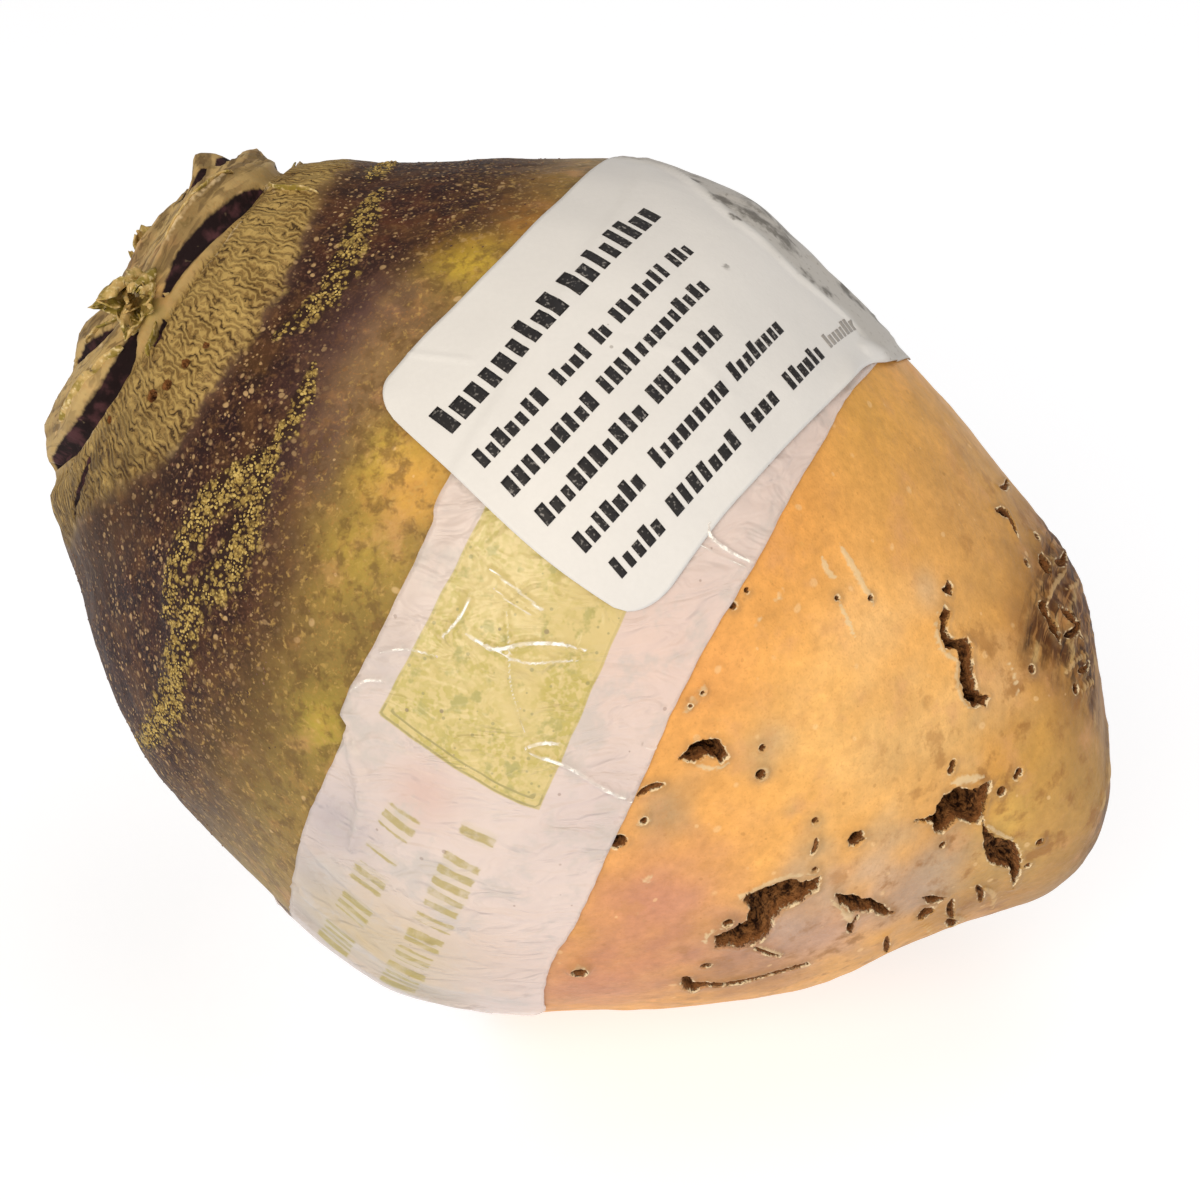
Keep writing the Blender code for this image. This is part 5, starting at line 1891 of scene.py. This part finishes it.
def crumb_material():
    """Dry straw-coloured crumbs."""
    material, tree, shader = new_material("dry_crumbs")
    place = object_place(tree)
    golden = blend(
        tree, fade(tree, grain(tree, place, 1.2), 0.38, 0.62), colour_of("7E6434"), colour_of("C6AC64")
    )
    bare = blend(
        tree, fade(tree, grain(tree, place, 1.6), 0.40, 0.60), colour_of("4A322A"), colour_of("8A6A54")
    )
    colour = blend(tree, fade(tree, mark(tree, "crumbs"), 0.14, 0.40), bare, golden)
    join(tree, colour, shader.inputs["Base Color"])
    shader.inputs["Roughness"].default_value = 0.62
    shader.inputs["Specular IOR Level"].default_value = 0.3
    return material


def husk_material():
    """Dry papery scales, straw and green with brown streaks."""
    material, tree, shader = new_material("dry_husk")
    place = object_place(tree)
    fine = grain(tree, place, 0.7, 4.0, 0.65)
    colour = blend(
        tree, fade(tree, grain(tree, place, 2.4), 0.40, 0.60), colour_of("C2A468"), colour_of("8E7C34")
    )
    colour = layer(tree, colour, "E0CC98", fade(tree, fine, 0.50, 0.68))
    colour = layer(tree, colour, "54401E", fade(tree, grain(tree, place, 1.4), 0.60, 0.74))
    join(tree, colour, shader.inputs["Base Color"])
    shader.inputs["Roughness"].default_value = 0.66
    shader.inputs["Specular IOR Level"].default_value = 0.3
    relief(tree, shader, times(tree, fine, 0.16))
    return material


def ink_material():
    """Dark matt ink, greyer where it has faded."""
    material, tree, shader = new_material("plain_ink")
    place = object_place(tree)
    patchy_share = times(tree, fade(tree, grain(tree, place, 0.5), 0.56, 0.70), 0.35)
    dark = times(tree, mark(tree, "dark"), calc(tree, "SUBTRACT", 1.0, patchy_share))
    join(tree, blend(tree, dark, colour_of("C9C4BF"), colour_of("1E1C1E")), shader.inputs["Base Color"])
    shader.inputs["Roughness"].default_value = 0.5
    shader.inputs["Specular IOR Level"].default_value = 0.3
    return material


def camera_target():
    """The place that the camera looks at, in millimetres."""
    right, over = np.array((1.0, 0.0, 0.0)), np.array((0.0, math.sin(FRONT_RISE), math.cos(FRONT_RISE)))
    return ROOT_MIDDLE + FRAME_RIGHT * right + FRAME_OVER * over


def towards_viewer():
    """The direction from the turnip to the camera."""
    return np.array((0.0, -math.cos(FRONT_RISE), math.sin(FRONT_RISE)))


# Framing: the width of the view at the root's middle, and how far its middle is off the root's.
FRAME_WIDTH = 174.0
FRAME_RIGHT = 4.35
FRAME_OVER = -2.175
SENSOR_WIDTH = 36.0
FLOOR_SIDE = 6000.0
LIGHT_GAP = 1150.0

# Lights: name, direction from the turnip, side in millimetres, share of the light and colour.
LIGHTS = (
    ("key", (-0.42, -1, 0.62), 700, 1, "FFF2DE"),
    ("fill", (0.9, -0.7, 0.5), 900, 0.3, "FFF8EC"),
    ("top", (0.2, 0.1, 1), 1000, 0.36, "F6F4F6"),
)


def length_setting(name, description, size):
    """A setting in metres, from a size in millimetres."""
    return bpy.props.FloatProperty(
        name=name, description=description, default=size * MM, unit="LENGTH", precision=5
    )


class TurnipSkinSettings(bpy.types.PropertyGroup):
    """Settings of the root's skin."""

    gloss: bpy.props.FloatProperty(
        name="Gloss", description="How strongly the skin reflects", default=0.16,
        min=0, max=1, subtype="FACTOR",
    )


class TurnipCrumbSettings(bpy.types.PropertyGroup):
    """Settings of the crumbs on the purple skin."""

    gap: length_setting("Least gap", "Least distance between crumbs", CRUMB_GAP)
    seed: bpy.props.IntProperty(name="Seed", description="Seed of the scatter", default=CRUMB_SEED)


class TurnipHuskSettings(bpy.types.PropertyGroup):
    """Settings of the dry scales on the crown."""

    thickness: length_setting("Thickness", "Thickness of the scales", BLADE_THICK)


class TurnipFilmSettings(bpy.types.PropertyGroup):
    """Settings of the film band."""

    thickness: length_setting("Thickness", "Thickness of the film", FILM_THICK)
    clearness: bpy.props.FloatProperty(
        name="Clearness", description="How much each face of the film lets through", default=0.40,
        subtype="FACTOR",
    )


class TurnipLabelSettings(bpy.types.PropertyGroup):
    """Settings of the paper label."""

    thickness: length_setting("Thickness", "Thickness of the paper", LABEL_THICK)


class TurnipStageSettings(bpy.types.PropertyGroup):
    """Settings of the floor, the lights and the camera."""

    camera_gap: bpy.props.FloatProperty(
        name="Camera gap", description="Distance from the camera to the root's middle", default=0.5,
        unit="LENGTH",
    )
    key_power: bpy.props.FloatProperty(
        name="Key light", description="Power of the strongest light", default=7.55, unit="POWER"
    )
    surround: bpy.props.FloatProperty(
        name="Surround", description="Strength of the light from all round", default=0.42, min=0
    )
    floor_glow: bpy.props.FloatProperty(
        name="Floor glow", description="How strongly the floor shines by itself", default=0.66, min=0
    )
    floor_colour: bpy.props.FloatVectorProperty(
        name="Floor", description="Colour of the floor", default=colour_of("B8BCC4")[:3],
        subtype="COLOR", min=0, max=1,
    )


class TurnipSettings(bpy.types.PropertyGroup):
    """All the settings of the turnip."""

    skin: bpy.props.PointerProperty(type=TurnipSkinSettings)
    crumbs: bpy.props.PointerProperty(type=TurnipCrumbSettings)
    husk: bpy.props.PointerProperty(type=TurnipHuskSettings)
    film: bpy.props.PointerProperty(type=TurnipFilmSettings)
    label: bpy.props.PointerProperty(type=TurnipLabelSettings)
    stage: bpy.props.PointerProperty(type=TurnipStageSettings)


class TURNIP_OT_make_skin(bpy.types.Operator):
    """Make the root with its skin, crown, pits and tail"""

    bl_idname = "turnip.make_skin"
    bl_label = "Make the root"

    def execute(self, context):
        material = skin_material()
        shader = material.node_tree.nodes["Principled BSDF"]
        shader.inputs["Specular IOR Level"].default_value = context.scene.turnip.skin.gloss
        root = piece("swede_skin", swede_skin_mesh(), material)
        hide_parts("turnip_root")
        return {"FINISHED"}


class TURNIP_OT_make_crumbs(bpy.types.Operator):
    """Make the crumbs on the purple skin"""

    bl_idname = "turnip.make_crumbs"
    bl_label = "Make the crumbs"

    def execute(self, context):
        look = context.scene.turnip.crumbs
        tree = crumb_group()
        inputs = {socket.name: socket for socket in tree.interface.items_tree}
        inputs["Least gap"].default_value = look.gap
        inputs["Seed"].default_value = look.seed
        skin_data = bpy.data.objects["swede_skin"].data
        grown_piece("skin_crumbs", skin_data, tree, crumb_material())
        return {"FINISHED"}


class TURNIP_OT_make_husks(bpy.types.Operator):
    """Make the dry edges and the withered bud scales of the crown"""

    bl_idname = "turnip.make_husks"
    bl_label = "Make the dry scales"

    def execute(self, context):
        thickness = context.scene.turnip.husk.thickness / MM
        material = husk_material()
        blades = [blade_sheet(*blade) for blade in CROWN_BLADES]
        scales = [sheet for bud in BUDS for sheet in bud_sheets(*bud)]
        for name, sheets in (("crown_edges", blades), ("bud_scales", scales)):
            thicken(piece(name, sheets_mesh(name, sheets), material), thickness)
        return {"FINISHED"}


class TURNIP_OT_make_film(bpy.types.Operator):
    """Make the band of thin film round the root"""

    bl_idname = "turnip.make_film"
    bl_label = "Make the film"

    def execute(self, context):
        look = context.scene.turnip.film
        film = piece("film_wrap", film_mesh(), film_material(look.clearness))
        sheet_points = len(film.data.vertices)
        thicken(film, look.thickness / MM)
        line_inside(film, film_inside_material(look.clearness), sheet_points)
        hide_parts("film_band")
        return {"FINISHED"}


class TURNIP_OT_make_label(bpy.types.Operator):
    """Make the paper label with its smudges"""

    bl_idname = "turnip.make_label"
    bl_label = "Make the label"

    def execute(self, context):
        paper = piece("label_paper", label_mesh(), paper_material())
        thicken(paper, context.scene.turnip.label.thickness / MM)
        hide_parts("paper_label")
        return {"FINISHED"}


class TURNIP_OT_make_marks(bpy.types.Operator):
    """Make the plain dark marks on the label"""

    bl_idname = "turnip.make_marks"
    bl_label = "Make the label's marks"

    def execute(self, context):
        marks = grown_piece("label_marks", mark_points(), mark_group(), ink_material())
        first, second = flat_places(marks.data)
        reach, turn = first, second / LABEL_DEGREE
        above = LABEL_THICK + MARK_GAP
        set_places(marks.data, skin(reach, turn, label_out(reach, turn, round_skin(reach, turn)) + above))
        thicken(marks, MARK_THICK)
        return {"FINISHED"}


class TURNIP_OT_make_stage(bpy.types.Operator):
    """Make the pale floor, the soft lights and the camera"""

    bl_idname = "turnip.make_stage"
    bl_label = "Make the stage"

    def execute(self, context):
        look = context.scene.turnip.stage
        bm = bmesh.new()
        bmesh.ops.create_grid(bm, x_segments=1, y_segments=1, size=FLOOR_SIDE * MM / 2)
        mesh = finished_mesh("floor", bm)
        material, _, shader = new_material("pale_floor")
        shader.inputs["Base Color"].default_value = (*look.floor_colour, 1.0)
        shader.inputs["Roughness"].default_value = 0.9
        shader.inputs["Specular IOR Level"].default_value = 0.1
        shader.inputs["Emission Color"].default_value = colour_of("FFFFFF")
        shader.inputs["Emission Strength"].default_value = look.floor_glow
        mesh.materials.append(material)
        ground = placed("floor", mesh)

        for name, way, side, share, code in LIGHTS:
            light = bpy.data.lights.new(name, "AREA")
            light.shape = "DISK"
            light.size = side * MM
            light.energy = look.key_power * share
            light.color = colour_of(code)[:3]
            lamp = placed(name, light)
            way = Vector(way).normalized()
            lamp.location = Vector(ROOT_MIDDLE * MM) + way * LIGHT_GAP * MM
            lamp.rotation_euler = way.to_track_quat("Z", "Y").to_euler()

        world = bpy.data.worlds.new("studio")
        world.use_nodes = True
        background = world.node_tree.nodes["Background"]
        background.inputs["Color"].default_value = colour_of("FFF8EE")
        background.inputs["Strength"].default_value = look.surround
        context.scene.world = world
        context.scene.view_settings.view_transform = "Standard"

        lens = bpy.data.cameras.new("camera")
        lens.sensor_width = SENSOR_WIDTH
        lens.lens = SENSOR_WIDTH * look.camera_gap / (FRAME_WIDTH * MM)
        camera = placed("camera", lens)
        camera.location = Vector(camera_target() * MM) + Vector(towards_viewer()) * look.camera_gap
        camera.rotation_euler = Euler((math.radians(90) - FRONT_RISE, 0.0, 0.0))
        context.scene.camera = camera
        return {"FINISHED"}


class TURNIP_PT_panel(bpy.types.Panel):
    """Lists the pieces of the turnip in the sidebar"""

    bl_idname = "TURNIP_PT_panel"
    bl_label = "Turnip"
    bl_space_type = "VIEW_3D"
    bl_region_type = "UI"
    bl_category = "Turnip"

    def draw(self, context):
        settings = context.scene.turnip
        for title, group, operator in PANEL_ROWS:
            box = self.layout.box()
            box.label(text=title)
            if group:
                chosen = getattr(settings, group)
                for name in chosen.__annotations__:
                    box.prop(chosen, name)
            box.operator(operator)


# Pieces as the panel lists them and as they are made: title, settings and operator.
PANEL_ROWS = (
    ("Stage", "stage", "turnip.make_stage"),
    ("Root", "skin", "turnip.make_skin"),
    ("Crumbs", "crumbs", "turnip.make_crumbs"),
    ("Dry scales", "husk", "turnip.make_husks"),
    ("Film", "film", "turnip.make_film"),
    ("Label", "label", "turnip.make_label"),
    ("Label marks", None, "turnip.make_marks"),
)

CLASSES = (
    TurnipSkinSettings,
    TurnipCrumbSettings,
    TurnipHuskSettings,
    TurnipFilmSettings,
    TurnipLabelSettings,
    TurnipStageSettings,
    TurnipSettings,
    TURNIP_OT_make_skin,
    TURNIP_OT_make_crumbs,
    TURNIP_OT_make_husks,
    TURNIP_OT_make_film,
    TURNIP_OT_make_label,
    TURNIP_OT_make_marks,
    TURNIP_OT_make_stage,
    TURNIP_PT_panel,
)


def register():
    """Make the settings, the operators and the panel known."""
    for known in CLASSES:
        bpy.utils.register_class(known)
    bpy.types.Scene.turnip = bpy.props.PointerProperty(type=TurnipSettings)


def unregister():
    """Take them away again."""
    del bpy.types.Scene.turnip
    for known in reversed(CLASSES):
        bpy.utils.unregister_class(known)


def main():
    """Make every piece in order."""
    register()
    for _, _, operator in PANEL_ROWS:
        group, name = operator.split(".")
        getattr(getattr(bpy.ops, group), name)()


if __name__ == "__main__":
    main()
